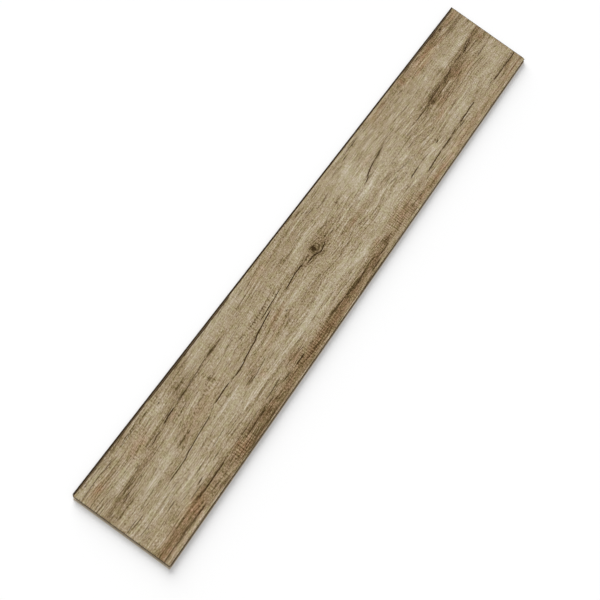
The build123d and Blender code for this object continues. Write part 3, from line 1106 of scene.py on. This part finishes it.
        (294, 29, 16, 6, -0.2), (-205, -40, 24, 8, -0.17), (88, 38, 36, 9, -0.18), (390, -78, 14, 6, -0.18),
        (170, 90, 25, 6, -0.2), (-545, -67, 28, 6, -0.17), (228, 51, 14, 6, -0.18),
        (-452, -52, 40, 8, -0.17), (-357, -77, 18, 5, -0.17), (-388, 66, 14, 6, -0.16),
        (-143, 89, 15, 6, -0.15), (182, -27, 14, 6, -0.15), (58, 3, 14, 6, -0.15), (168, 21, 22, 3, 0.3),
        (-163, 22, 18, 4, 0.15), (-44, 15, 10, 4, 0.2), (625, 49, 14, 6, 0.18), (-480, -7, 15, 5, 0.18),
        (552, 73, 14, 5, 0.14), (-452, 2, 14, 5, 0.17), (560, 9, 14, 5, 0.16), (-354, 90, 12, 5, 0.12),
        (572, 28, 16, 6, -0.2), (-265, -82, 15, 5, -0.16), (-308, -88, 14, 5, -0.16),
        (-636, 88, 10, 6, -0.16), (-12, 69, 14, 6, -0.15), (-554, 76, 16, 6, -0.16),
        (370, -88, 14, 5, -0.14), (373, 51, 14, 5, -0.14), (-575, -66, 14, 5, -0.14),
        (-512, -78, 14, 5, -0.14),
    )
    bands: tuple = (
        (0.22, 0.05, 0, 6, -539, 39.8, -478, 46.8, -417, 54.8, -347, 60.8, -286, 62.7),
        (0.3, 0.05, 0, 4.5, -131, 22.1, -96, 24, -56, 24, -36, 20.9),
        (0.26, 0.2, 0, 12, -640, -81.7, -498, -79.8, -397, -80.8, -297, -81.9),
        (0.13, 0.1, 0, 7, -539, -67.6, -448, -69.7, -377, -69.7, -297, -72.8),
        (0.16, 0.1, 0, 5, -458, -90.9, -377, -91.9, -277, -91),
        (0.22, 0.2, 0, 9, -317, -83.9, -196, -84.9, -96, -88, 4, -90),
        (0, 0, 0.3, 6, -640, -25.9, -579, -20.9, -528, -14.9),
        (0, 0, 0.25, 8, -397, -39.3, -327, -37.3, -256, -41.4, -196, -44.5),
        (0, 0, 0.22, 5, -186, -59.7, -136, -57.7, -86, -56.7),
        (0, 0, 0.25, 8, -56, -45.6, -16, -47.7, 64, -49.7, 114, -47.7),
        (0.2, 0, 0, 4, 154, 22.7, 194, 30.7, 244, 36.6, 303, 38.6),
        (0.14, 0, 0, 4, 274, -64.9, 343, -64, 422, -63, 472, -61),
        (0.15, 0.05, 0, 4, 522, -66.1, 581, -67.1, 640, -67.1),
        (0.2, 0.1, 0, 8, 373, 13.3, 452, 11.2, 522, 9.1, 601, 15.1, 640, 20),
        (0.13, 0.1, 0, 9, 353, 90.7, 452, 88.5, 561, 89.3, 640, 86.1),
        (0, 0, 0.25, 55, 99, 20.7, 154, 15.6, 224, 5.5, 293, 0.4),
        (0.1, 0.05, 0, 8, -26, 13.9, 14, 19.9, 54, 22.8),
        (0.13, 0.05, 0, 6, -71, 14.9, -41, 11.9, -11, 12.8),
        (0.15, 0.05, 0, 7, -353, 25.4, -350, 37.5),
        (0.25, 0, 0, 5, 331, -35.8, 333, -45.9),
        (0.2, 0.05, 0, 7, 470, 32.3, 494, 32.3),
        (0.15, 0.05, 0, 7, -327, -28.2, -302, -26.2, -281, -26.3),
        (0, 0, 0.3, 10, 89, -49.7, 114, -45.7, 144, -47.8),
        (0, 0, 0.3, 6, 274, -45.8, 318, -44.9),
        (0, 0, 0.25, 7, 19, 37, 64, 43),
        (0, 0, 0.2, 8, 89, 85.2, 134, 83.1),
        (0.08, 0.1, 0, 6, 576, 27.1, 611, 30.1, 640, 32),
    )
    sawn: tuple = (
        (-407, -80, 34, 10, 1.0), (-490, -81, 34, 9, 0.7), (-465, 82, 40, 14, 0.5), (-525, 61, 40, 12, 0.4),
        (-175, -79, 70, 12, 0.8), (-300, -80, 40, 10, 0.4), (150, -72, 45, 22, 0.9), (85, -72, 40, 16, 0.5),
        (565, 37, 45, 10, 0.7), (430, 82, 50, 12, 0.4), (-250, 78, 60, 16, 0.35), (240, -80, 60, 10, 0.5),
        (-560, 48, 60, 16, 0.35), (-60, 80, 50, 12, 0.3), (480, -30, 80, 14, 0.2), (175, 55, 60, 20, 0.2),
        (-202, 31.5, 60, 4, 1.3), (-362, 26, 26, 6, 0.8),
    )

    def flow(self, x: np.ndarray, y: np.ndarray) -> np.ndarray:
        """Coordinates that follow the fibres: they climb on the left, and part round the knots.

        Args:
            x: Places along the plank, in millimetres.
            y: Places across it.

        Returns:
            The fibres' own coordinates in metres, one row for each place.
        """
        rise = smoothstep(*self.climb_along, x) * smoothstep(*self.climb_across, y)
        lane = y - self.climb * rise
        for knot_x, knot_y, radius, length in self.knots:
            dx, dy = (x - knot_x) / length, y - knot_y
            lane = lane - dy * radius**2 / (dx**2 + dy**2 + self.knot_core * radius**2)
        for height, along, across, phase in self.waves:
            lane = lane + height * np.sin(x / along + y / across + phase)
        return np.stack([x, lane, np.zeros_like(x)], 1) * MM

    @staticmethod
    def smooth_path(numbers: list[float], spacing: float = 3.0) -> np.ndarray:
        """Runs a smooth curve through points.

        Args:
            numbers: The points' places along and across by turns, in millimetres.
            spacing: About how far apart the curve's points are.

        Returns:
            The curve's points, one row each.
        """
        p = np.reshape(numbers, (-1, 2)).astype(float)
        p = np.vstack([2 * p[0] - p[1], p, 2 * p[-1] - p[-2]])
        path = []
        for a, b, c, d in zip(p[:-3], p[1:-2], p[2:-1], p[3:]):
            steps = max(1, int(np.linalg.norm(c - b) / spacing))
            t = (np.arange(steps) / steps)[:, None]
            bend = 2 * a - 5 * b + 4 * c - d
            twist = 3 * b - a - 3 * c + d
            path.append(0.5 * (2 * b + (c - a) * t + bend * t**2 + twist * t**3))
        path.append(p[-2:-1])
        return np.vstack(path)

    @staticmethod
    def beside(
        path: np.ndarray, x: np.ndarray, y: np.ndarray, reach: float
    ) -> tuple[np.ndarray, np.ndarray, np.ndarray, float]:
        """Finds the places near a path.

        Args:
            path: The path's points.
            x: Places along the plank.
            y: Places across it.
            reach: How far from the path a place may be.

        Returns:
            Which places are near, their signed distances from the path, how far along it they are,
            and the path's length.
        """
        low, high = path.min(0) - reach, path.max(0) + reach
        near = np.flatnonzero((x > low[0]) & (x < high[0]) & (y > low[1]) & (y < high[1]))
        place = np.stack([x[near], y[near]], 1)
        run = path[1:] - path[:-1]
        size = np.linalg.norm(run, axis=1)
        begin = np.concatenate([[0.0], np.cumsum(size)[:-1]])
        gap = place[:, None, :] - path[None, :-1, :]
        share = np.clip((gap * run).sum(2) / size**2, 0.0, 1.0)
        miss = gap - share[..., None] * run
        apart = np.linalg.norm(miss, axis=2)
        best = apart.argmin(1)
        pick = np.arange(len(near))
        side = np.sign(run[best, 0] * gap[pick, best, 1] - run[best, 1] * gap[pick, best, 0])
        along = begin[best] + share[pick, best] * size[best]
        keep = apart[pick, best] < reach
        return near[keep], (side * apart[pick, best])[keep], along[keep], float(size.sum())

    @staticmethod
    def ends(along: np.ndarray, length: float, taper: tuple) -> np.ndarray:
        """Fades a line out towards both of its ends.

        Args:
            along: How far along the line each place is.
            length: The line's length.
            taper: The taper's row of numbers.

        Returns:
            How strongly the line shows, from 0 to 1.
        """
        longest, share, overrun, lap = taper
        fade = min(longest, share * length)
        start = -(overrun + lap * fade)
        return smoothstep(start, fade, along) * smoothstep(start, fade, length - along)

    def lay_splits(self, x: np.ndarray, y: np.ndarray) -> tuple[np.ndarray, np.ndarray]:
        """Works out the splits' signed distances and strengths.

        Splits that come near each other go into different columns, so that each place has one
        nearest split in a column.

        Args:
            x: Places along the plank, in millimetres.
            y: Places across it.

        Returns:
            The distances in metres and the strengths, with a column for each group of splits.
        """
        columns = 3 * self.SHEETS
        off = np.full((len(x), columns), self.REACH)
        ink = np.zeros((len(x), columns))
        rng = np.random.default_rng(self.seed)
        crowded = 0
        for strength, *numbers in sorted(self.splits, key=lambda split: -split[0]):
            path = self.smooth_path(numbers)
            joints = np.arange(0, len(path) + self.wander_step, self.wander_step)
            drift = rng.normal(0, self.split_wander, len(path) // self.wander_step + 2)
            path[:, 1] += np.interp(np.arange(len(path)), joints, drift[: len(joints)])
            near, apart, along, length = self.beside(path, x, y, self.REACH)
            fade = self.ends(along, length, self.split_taper)
            edge = 1 - smoothstep(self.split_edge * self.REACH, self.REACH, np.abs(apart))
            here = strength * (self.split_end + (1 - self.split_end) * fade) * edge
            free = [c for c in range(columns) if not (ink[near, c] > 0).any()]
            if free:
                column = free[0]
                off[near, column] = apart
                ink[near, column] = here
            else:
                crowded += 1
                column = int(np.argmin([(ink[near, c] > 0).sum() for c in range(columns)]))
                win = here > ink[near, column]
                off[near[win], column] = apart[win]
                ink[near[win], column] = here[win]
        log.info("splits laid in %d columns, %d crowded", columns, crowded)
        return off * MM, ink

    def lay_stains(self, x: np.ndarray, y: np.ndarray) -> np.ndarray:
        """Works out how dark, warm and pale the wood is.

        Args:
            x: Places along the plank, in millimetres.
            y: Places across it.

        Returns:
            Three columns: dark, warm and pale.
        """
        stain = np.zeros((len(x), 3))
        self.add_patches(stain, x, y)
        for dark, warm, pale, half, *numbers in self.bands:
            path = self.smooth_path(numbers, self.band_spacing)
            near, apart, along, length = self.beside(path, x, y, self.band_reach * half)
            shown = self.ends(along, length, self.band_taper) * np.exp(-((apart / half) ** 2))
            stain[near] += shown[:, None] * np.array((dark, warm, pale))
        self.add_dabs(stain, x, y)
        for strength, *numbers in self.streaks:
            path = self.smooth_path(numbers)
            near, apart, along, length = self.beside(path, x, y, self.streak_reach)
            pale = self.streak_weight * strength * self.ends(along, length, self.streak_taper)
            stain[near, 2] += pale * np.exp(-((apart / self.streak_half) ** 2))
        return stain

    def add_patches(self, stain: np.ndarray, x: np.ndarray, y: np.ndarray) -> None:
        """Adds the round patches, which climb with the fibres on the left.

        Args:
            stain: The columns dark, warm and pale, to add to.
            x: Places along the plank, in millimetres.
            y: Places across it.
        """
        climb = self.patch_climb * (x < 0)
        for px, py, half_length, half_width, *amounts in self.patches:
            dx = x - px
            dy = y - py - climb * dx * (py > self.patch_climb_above)
            spread = (dx / half_length) ** 2 + (dy / half_width) ** 2
            stain[:, : len(amounts)] += np.exp(-spread)[:, None] * np.array(amounts)

    def add_dabs(self, stain: np.ndarray, x: np.ndarray, y: np.ndarray) -> None:
        """Adds the small dark dabs.

        Args:
            stain: The columns dark, warm and pale, to add to.
            x: Places along the plank, in millimetres.
            y: Places across it.
        """
        half_length, half_width = self.dab_half
        for strength, *numbers in self.dabs:
            for px, py in np.reshape(numbers, (-1, 2)):
                slanted = x - px - self.dab_slant * (y - py)
                spread = (slanted / half_length) ** 2 + ((y - py) / half_width) ** 2
                stain[:, 0] += self.dab_weight * strength * np.exp(-spread)

    def lay_saw_marks(self, x: np.ndarray, y: np.ndarray) -> np.ndarray:
        """Works out how much the saw's marks across the grain show.

        Args:
            x: Places along the plank, in millimetres.
            y: Places across it.

        Returns:
            How much they show at each place.
        """
        shown = np.full(len(x), self.saw_least)
        for px, py, half_length, half_width, strength in self.sawn:
            shown += strength * np.exp(-(((x - px) / half_length) ** 4) - ((y - py) / half_width) ** 4)
        return shown


@dataclass
class Embossing:
    """The relief pressed into the decor, as a geometry tree. Depths are in metres."""

    pore_depth: float = 0.05 * MM
    split_depth: float = 0.22 * MM
    saw_depth: float = 0.06 * MM
    saw_pitch: float = 4.6 * MM
    wave_depth: float = 0.04 * MM
    seed: int = 3
    pore_scale: Triple = (40, 420, 1)
    pore_edges: Edges = (0.42, 0.72)
    wave_scale: Triple = (8, 60, 1)
    cut_scale: Triple = (1, 0.07, 0)
    split_edges: Edges = (0.2 * MM, 1.5 * MM)
    inputs: dict[str, float] = field(default_factory=dict)

    def tree(self, materials: list[bpy.types.Material]) -> bpy.types.GeometryNodeTree:
        """Builds the tree.

        Args:
            materials: The board's finishes, in the order of Face.

        Returns:
            The finished tree.
        """
        tree = bpy.data.node_groups.new("pressed relief", "GeometryNodeTree")
        self.open_sockets(tree)
        wires = Wires(tree)
        entry = wires.node("NodeGroupInput")
        down = wires.math("MULTIPLY", self.pressed(wires, entry), -1.0)
        down = wires.math("MULTIPLY", down, self.named(wires, "emboss"))
        offset = wires.node("ShaderNodeCombineXYZ")
        wires.feed(offset.inputs[2], down)
        moved = wires.node("GeometryNodeSetPosition")
        wires.feed(moved.inputs["Geometry"], entry.outputs["Geometry"])
        wires.feed(moved.inputs["Offset"], offset.outputs[0])
        real = wires.node("GeometryNodeRealizeInstances")
        wires.feed(real.inputs[0], moved.outputs[0])
        stream = real.outputs[0]
        for finish in Face:
            chosen = wires.node("FunctionNodeCompare", data_type="INT", operation="EQUAL")
            wires.feed(chosen.inputs[2], self.named(wires, "finish", "INT"))
            chosen.inputs[3].default_value = int(finish)
            dressed = wires.node("GeometryNodeSetMaterial")
            wires.feed(dressed.inputs["Geometry"], stream)
            wires.feed(dressed.inputs["Selection"], chosen.outputs[0])
            dressed.inputs["Material"].default_value = materials[finish]
            stream = dressed.outputs[0]
        wires.feed(wires.node("NodeGroupOutput").inputs[0], stream)
        return tree

    def open_sockets(self, tree: bpy.types.GeometryNodeTree) -> None:
        """Gives the tree its sockets, and keeps the values to set on them.

        Args:
            tree: The tree to open.
        """
        for side in ("INPUT", "OUTPUT"):
            tree.interface.new_socket("Geometry", in_out=side, socket_type="NodeSocketGeometry")
        values = (
            ("Pore Depth", "NodeSocketFloat", self.pore_depth),
            ("Split Depth", "NodeSocketFloat", self.split_depth),
            ("Saw Depth", "NodeSocketFloat", self.saw_depth),
            ("Saw Pitch", "NodeSocketFloat", self.saw_pitch),
            ("Wave Depth", "NodeSocketFloat", self.wave_depth),
            ("Seed", "NodeSocketInt", self.seed),
        )
        for name, kind, value in values:
            socket = tree.interface.new_socket(name, in_out="INPUT", socket_type=kind)
            socket.default_value = value
            self.inputs[socket.identifier] = value

    def pressed(self, wires: Wires, entry: bpy.types.Node) -> Socket:
        """Adds up the pores, waves, splits and saw cuts.

        Args:
            wires: The tree being laid.
            entry: The tree's input node.

        Returns:
            The socket of their depth in metres.
        """
        taken = entry.outputs
        grain = self.named(wires, "grain", "FLOAT_VECTOR")
        place = wires.node("GeometryNodeInputPosition").outputs[0]
        pores = self.rough(wires, wires.stretch(grain, self.pore_scale), taken["Seed"])
        waves = self.rough(wires, wires.stretch(grain, self.wave_scale), taken["Seed"])
        pitch = wires.math("DIVIDE", 1.0, taken["Saw Pitch"])
        cuts = self.rough(wires, wires.stretch(place, self.cut_scale), taken["Seed"], pitch)
        splits = 0.0
        for sheet in range(WoodFigure.SHEETS):
            offs = wires.parts(self.named(wires, f"split_off_{sheet}", "FLOAT_VECTOR"))
            inks = wires.parts(self.named(wires, f"split_ink_{sheet}", "FLOAT_VECTOR"))
            for off, ink in zip(offs, inks):
                apart = wires.math("ABSOLUTE", off)
                line = wires.math("SUBTRACT", 1.0, wires.step(apart, *self.split_edges))
                splits = wires.math("MAXIMUM", splits, wires.math("MULTIPLY", line, ink))
        parts = (
            (wires.step(pores, *self.pore_edges), "Pore Depth"),
            (waves, "Wave Depth"),
            (splits, "Split Depth"),
            (wires.math("MULTIPLY", cuts, self.named(wires, "sawn")), "Saw Depth"),
        )
        return wires.total(*(wires.math("MULTIPLY", part, taken[name]) for part, name in parts))

    @staticmethod
    def named(wires: Wires, name: str, kind: str = "FLOAT") -> Socket:
        """Reads one of the mesh's attributes.

        Args:
            wires: The tree being laid.
            name: The attribute's name.
            kind: Its data type.

        Returns:
            The attribute's socket.
        """
        made = wires.node("GeometryNodeInputNamedAttribute", data_type=kind)
        made.inputs["Name"].default_value = name
        return made.outputs["Attribute"]

    @staticmethod
    def rough(wires: Wires, vector: Socket, seed: Socket, scale: object = 1.0) -> Socket:
        """Adds a noise that differs with the seed.

        Args:
            wires: The tree being laid.
            vector: The noise's coordinates.
            seed: The seed's socket.
            scale: What the coordinates are multiplied by, a socket or a number.

        Returns:
            The socket of its value, from 0 to 1.
        """
        made = wires.node("ShaderNodeTexNoise", noise_dimensions="4D")
        for name, value in (("Vector", vector), ("W", seed), ("Scale", scale), ("Detail", 1.0)):
            wires.feed(made.inputs[name], value)
        return made.outputs[0]


@dataclass
class Plank:
    """The whole plank as one piece, in place of its solid. Sizes are in millimetres."""

    face_length: float = 1285.0
    face_width: float = 192.0
    station: float = 2.05
    lane: float = 1.32
    finish_reach: float = 3.0
    overhang: float = 20.0
    weld: float = 0.002
    emboss_margin: float = 3.0
    joint: ClickJoint = field(default_factory=ClickJoint)
    figure: WoodFigure = field(default_factory=WoodFigure)
    embossing: Embossing = field(default_factory=Embossing)

    @property
    def decor_half(self) -> Point2:
        """Half the decor's length and half its width, inside the bevel."""
        bevel = self.joint.bevel_width
        return (self.face_length / 2 - bevel, self.face_width / 2 - bevel)

    @staticmethod
    def finishes() -> list[bpy.types.Material]:
        """Makes the board's finishes.

        Returns:
            Their materials, in the order of Face.
        """
        return [
            WoodPrint("wood print", roughness=0.5, specular=0.12).build(),
            BevelPaint("bevel paint", roughness=0.6, specular=0.15).build(),
            FibreCore("fibre core", roughness=0.85, specular=0.2).build(),
            # Painted shade: this copy of the core is dark for the tongue sides, which the lamp lights.
            # Painted light: the next two copies are pale for the groove side and near end, which lie in
            # shade.
            FibreCore("core with painted shade", 0.65, 0.12, (46, 35, 21), (66, 52, 33), (34, 25, 14)).build(),
            FibreCore("core with painted light", 0.7, 0.2, (188, 168, 138), (204, 184, 154), (166, 146, 116)).build(),
            FibreCore("core with more painted light", 0.8, 0.2, (218, 205, 182), (230, 218, 198), (200, 187, 162)).build(),
            BackingPaper("backing paper", roughness=0.7, specular=0.25).build(),
        ]

    @staticmethod
    def prism(section: list[Point2], reach: float, along_x: bool) -> bpy.types.Object:
        """Makes a bar of one section.

        Args:
            section: The section's corners, in millimetres.
            reach: How far the bar reaches each way.
            along_x: Whether it runs along X, and otherwise along Y.

        Returns:
            The bar as an object.
        """
        mesh = bpy.data.meshes.new("bar")
        bm = bmesh.new()
        rings = []
        for end in (-reach, reach):
            corners = [(end, a, b) if along_x else (a, end, b) for a, b in section]
            rings.append([bm.verts.new([value * MM for value in corner]) for corner in corners])
        count = len(section)
        for i in range(count):
            k = (i + 1) % count
            bm.faces.new((rings[0][i], rings[0][k], rings[1][k], rings[1][i]))
        bm.faces.new(rings[0])
        bm.faces.new(rings[1][::-1])
        bmesh.ops.recalc_face_normals(bm, faces=bm.faces)
        bm.to_mesh(mesh)
        bm.free()
        bar = bpy.data.objects.new("bar", mesh)
        bpy.context.scene.collection.objects.link(bar)
        return bar

    def milled(self) -> bmesh.types.BMesh:
        """Mills the board as the works do: along the sides, and then across the ends.

        Returns:
            The board, with only its largest part kept.
        """
        along, across = self.face_length / 2 + self.overhang, self.face_width / 2 + self.overhang
        long_bar = self.prism(self.joint.section(self.face_width), along, True)
        end_bar = self.prism(self.joint.section(self.face_length), across, False)
        cut = long_bar.modifiers.new("across the ends", "BOOLEAN")
        cut.operation = "INTERSECT"
        cut.solver = "EXACT"
        cut.object = end_bar
        graph = bpy.context.evaluated_depsgraph_get()
        mesh = bpy.data.meshes.new_from_object(long_bar.evaluated_get(graph))
        bm = bmesh.new()
        bm.from_mesh(mesh)
        for spent in (long_bar, end_bar):
            bpy.data.objects.remove(spent)
        bmesh.ops.remove_doubles(bm, verts=bm.verts, dist=self.weld * MM)
        self.drop_crumbs(bm)
        return bm

    @staticmethod
    def drop_crumbs(bm: bmesh.types.BMesh) -> None:
        """Deletes all but the largest connected part.

        Args:
            bm: The board, with whatever crumbs the milling left.
        """
        seen: set = set()
        parts = []
        for vert in bm.verts:
            if vert in seen:
                continue
            seen.add(vert)
            part, stack = [], [vert]
            while stack:
                at = stack.pop()
                part.append(at)
                for edge in at.link_edges:
                    other = edge.other_vert(at)
                    if other not in seen:
                        seen.add(other)
                        stack.append(other)
            parts.append(part)
        parts.sort(key=len)
        for part in parts[:-1]:
            bmesh.ops.delete(bm, geom=part, context="VERTS")

    @staticmethod
    def stations(half: float, step: float) -> list[float]:
        """Spaces places about a step apart, from one edge of the decor to the other."""
        count = round(2 * half / step)
        return [-half + 2 * half * i / count for i in range(count + 1)]

    def board(self) -> bpy.types.Object:
        """Makes the milled board with a fine net over the decor.

        Returns:
            The board as an object, its faces' finishes in the attribute "finish".
        """
        bm = self.milled()
        top = self.joint.thickness * MM
        decor = [f for f in bm.faces if all(abs(v.co.z - top) < CLOSE for v in f.verts)]
        bmesh.ops.delete(bm, geom=decor, context="FACES_ONLY")
        half_x, half_y = self.decor_half
        xs, ys = self.stations(half_x, self.station), self.stations(half_y, self.lane)
        self.split_rim(bm, xs, ys, top)
        bm.faces.ensure_lookup_table()
        tag = bm.faces.layers.int.new("finish")
        for face in bm.faces:
            face[tag] = self.finish_of(face)
        grid = [[bm.verts.new((x * MM, y * MM, top)) for y in ys] for x in xs]
        for a, b in zip(grid[:-1], grid[1:]):
            for j in range(len(ys) - 1):
                bm.faces.new((a[j], b[j], b[j + 1], a[j + 1]))[tag] = int(Face.DECOR)
        level = [v for v in bm.verts if abs(v.co.z - top) < CLOSE]
        bmesh.ops.remove_doubles(bm, verts=level, dist=CLOSE)
        bmesh.ops.triangulate(bm, faces=[f for f in bm.faces if len(f.verts) > 4])
        bmesh.ops.recalc_face_normals(bm, faces=bm.faces)
        mesh = bpy.data.meshes.new("plank_board")
        bm.to_mesh(mesh)
        bm.free()
        board = bpy.data.objects.new("plank_board", mesh)
        bpy.context.scene.collection.objects.link(board)
        return board

    @staticmethod
    def split_rim(bm: bmesh.types.BMesh, xs: list[float], ys: list[float], top: float) -> None:
        """Cuts the open rim under the decor at the net's stations, so that both share their points.

        Args:
            bm: The board without its decor faces.
            xs: The stations along the plank, in millimetres.
            ys: The stations across it.
            top: The decor's height, in metres.
        """
        rim = [e for e in bm.edges if e.is_boundary and all(abs(v.co.z - top) < CLOSE for v in e.verts)]
        for edge in rim:
            a, b = edge.verts
            axis = 0 if abs(b.co.x - a.co.x) > abs(b.co.y - a.co.y) else 1
            if a.co[axis] > b.co[axis]:
                a, b = b, a
            for place in (xs, ys)[axis][1:-1]:
                at = place * MM
                if not a.co[axis] + TINY < at < b.co[axis] - TINY:
                    continue
                share = (at - a.co[axis]) / (b.co[axis] - a.co[axis])
                _, a = bmesh.utils.edge_split(edge, a, share)
                edge = next(e for e in a.link_edges if e.other_vert(a) is b)

    def finish_of(self, face: bmesh.types.BMFace) -> int:
        """Names the finish of a milled face.

        Args:
            face: A face of the board outside the decor.

        Returns:
            The number of its finish.
        """
        face.normal_update()
        low = min(v.co.z for v in face.verts)
        bevel_foot = (self.joint.thickness - self.joint.bevel_depth) * MM
        if low > bevel_foot - CLOSE:
            return int(Face.BEVEL)
        if max(v.co.z for v in face.verts) < CLOSE:
            return int(Face.BACKING)
        middle = face.calc_center_median() / MM
        half_x = self.face_length / 2 - self.finish_reach
        half_y = self.face_width / 2 - self.finish_reach
        # The tongue sides and far end take the dark copy of the core as painted shade. The groove side and
        # near end take the pale copies as painted light against their shade.
        if middle.x > half_x or middle.y > half_y:
            return int(Face.PAINTED_SHADE)
        if middle.x < -half_x:
            return int(Face.PAINTED_MORE_LIGHT)
        return int(Face.PAINTED_LIGHT if middle.y < -half_y else Face.CORE)

    def lay_attributes(self, mesh: bpy.types.Mesh) -> None:
        """Writes the figure on the mesh as attributes.

        Args:
            mesh: The board's mesh.
        """
        count = len(mesh.vertices)
        co = np.empty(count * 3)
        mesh.vertices.foreach_get("co", co)
        co = co.reshape(-1, 3) / MM
        x, y = co[:, 0], co[:, 1]

        def store(name: str, kind: str, key: str, data: np.ndarray) -> None:
            """Stores an attribute on the vertices.

            Args:
                name: The attribute's name.
                kind: Its data type.
                key: The property that holds a value of that type.
                data: One value or row for each vertex.
            """
            layer = mesh.attributes.new(name, kind, "POINT")
            layer.data.foreach_set(key, np.ascontiguousarray(data, dtype=np.float32).ravel())

        store("grain", "FLOAT_VECTOR", "vector", self.figure.flow(x, y))
        store("sawn", "FLOAT", "value", self.figure.lay_saw_marks(x, y))
        off, ink = self.figure.lay_splits(x, y)
        stain = self.figure.lay_stains(x, y)
        stain[:, 0] += self.figure.halo * (ink * np.exp(-((off / MM / self.figure.halo_width) ** 2))).max(1)
        store("stain", "FLOAT_VECTOR", "vector", stain)
        for sheet in range(WoodFigure.SHEETS):
            columns = slice(3 * sheet, 3 * sheet + 3)
            store(f"split_off_{sheet}", "FLOAT_VECTOR", "vector", off[:, columns])
            store(f"split_ink_{sheet}", "FLOAT_VECTOR", "vector", ink[:, columns])
        half_x, half_y = self.decor_half
        margin = np.minimum(half_x - np.abs(x), half_y - np.abs(y))
        on_top = co[:, 2] > self.joint.thickness - CLOSE / MM
        store("emboss", "FLOAT", "value", smoothstep(0.0, self.emboss_margin, margin) * on_top)

    def make(self) -> bpy.types.Object:
        """Makes the finished plank.

        Returns:
            The plank's object, declared to the frame.
        """
        board = self.board()
        self.lay_attributes(board.data)
        relief = board.modifiers.new("pressed relief", "NODES")
        relief.node_group = self.embossing.tree(self.finishes())
        for identifier, value in self.embossing.inputs.items():
            relief[identifier] = value
        graph = bpy.context.evaluated_depsgraph_get()
        mesh = bpy.data.meshes.new_from_object(
            board.evaluated_get(graph), preserve_all_data_layers=True, depsgraph=graph
        )
        board.modifiers.clear()
        board.data = mesh
        mesh.name = "plank_board"
        finish = np.empty(len(mesh.polygons), dtype=np.int32)
        mesh.attributes["finish"].data.foreach_get("value", finish)
        mesh.polygons.foreach_set("use_smooth", finish == int(Face.DECOR))
        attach(board, "root")
        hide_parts("plank")
        log.info("plank_board: %d faces, %d materials", len(mesh.polygons), len(mesh.materials))
        return board


@dataclass
class Studio:
    """The floor, the lamps and the camera.

    The key gives the part key_share of the light on the floor, and the sky gives the rest. A level
    floor catches the part key_sine of the wide key's light.
    """

    lens: float = 54.0
    sensor: float = 36.0
    clip: Edges = (0.05, 30.0)
    camera_place: Triple = (-0.79012, -0.04722, 1.51357)
    camera_turn: Triple = (20.209, -12.564, -56.319)
    floor_reach: float = 4.0
    floor_white: float = 0.9
    floor_glow: float = 0.12
    sky: float = 0.44
    key_share: float = 0.56
    key_height: float = 14.5
    key_heading: float = 53.0
    key_width: float = 53.0
    key_sine: float = 0.272

    def make_floor(self) -> bpy.types.Object:
        """Makes a white floor that keeps the plank's soft shadow.

        Returns:
            The floor's object.
        """
        material = bpy.data.materials.new("floor")
        material.use_nodes = True
        wires = Wires(material.node_tree)
        material.node_tree.nodes.clear()
        plain = wires.node("ShaderNodeBsdfDiffuse")
        plain.inputs["Color"].default_value = (self.floor_white, self.floor_white, self.floor_white, 1)
        glow = wires.node("ShaderNodeEmission")
        glow.inputs["Strength"].default_value = self.floor_glow
        both = wires.node("ShaderNodeAddShader")
        wires.feed(both.inputs[0], plain.outputs[0])
        wires.feed(both.inputs[1], glow.outputs[0])
        mix = wires.node("ShaderNodeMixShader")
        wires.feed(mix.inputs[0], wires.plain_view())
        wires.feed(mix.inputs[1], plain.outputs[0])
        wires.feed(mix.inputs[2], both.outputs[0])
        out = wires.node("ShaderNodeOutputMaterial")
        wires.feed(out.inputs["Surface"], mix.outputs[0])
        mesh = bpy.data.meshes.new("floor")
        reach = self.floor_reach
        corners = [(-reach, -reach, 0), (reach, -reach, 0), (reach, reach, 0), (-reach, reach, 0)]
        mesh.from_pydata(corners, [], [(0, 1, 2, 3)])
        mesh.materials.append(material)
        floor = bpy.data.objects.new("floor", mesh)
        bpy.context.scene.collection.objects.link(floor)
        return floor

    def light(self) -> None:
        """Lights the plank evenly, with a low soft key from the far tongue side."""
        world = bpy.data.worlds.new("studio")
        world.use_nodes = True
        wires = Wires(world.node_tree)
        ground = world.node_tree.nodes["Background"]
        ground.inputs["Color"].default_value = (1, 1, 1, 1)
        strength = wires.math("MULTIPLY_ADD", wires.plain_view(), 1.0 - self.sky, self.sky)
        wires.feed(ground.inputs["Strength"], strength)
        bpy.context.scene.world = world

        lamp = bpy.data.lights.new("key", "SUN")
        lamp.energy = math.pi * self.key_share / self.key_sine
        lamp.angle = math.radians(self.key_width)
        key = bpy.data.objects.new("key", lamp)
        key.rotation_euler = (0, math.radians(90 - self.key_height), math.radians(self.key_heading))
        # The lamp stays out of reflections, so that low views across the decor don't wash out.
        key.visible_glossy = False
        bpy.context.scene.collection.objects.link(key)

    def place_camera(self) -> None:
        """Looks down on the plank as the photograph does."""
        data = bpy.data.cameras.new("camera")
        data.lens = self.lens
        data.sensor_width = self.sensor
        data.clip_start, data.clip_end = self.clip
        camera = bpy.data.objects.new("camera", data)
        camera.location = self.camera_place
        camera.rotation_euler = [math.radians(angle) for angle in self.camera_turn]
        bpy.context.scene.collection.objects.link(camera)
        bpy.context.scene.camera = camera

    def make(self) -> None:
        """Makes the whole studio."""
        self.make_floor()
        self.light()
        self.place_camera()
        bpy.context.scene.view_settings.view_transform = "Standard"
        log.info("studio: floor, sky, key and camera")


def main() -> None:
    """Builds the plank and its studio."""
    logging.basicConfig(level=logging.INFO, format="%(message)s")
    Plank().make()
    Studio().make()


if __name__ == "__main__":
    main()
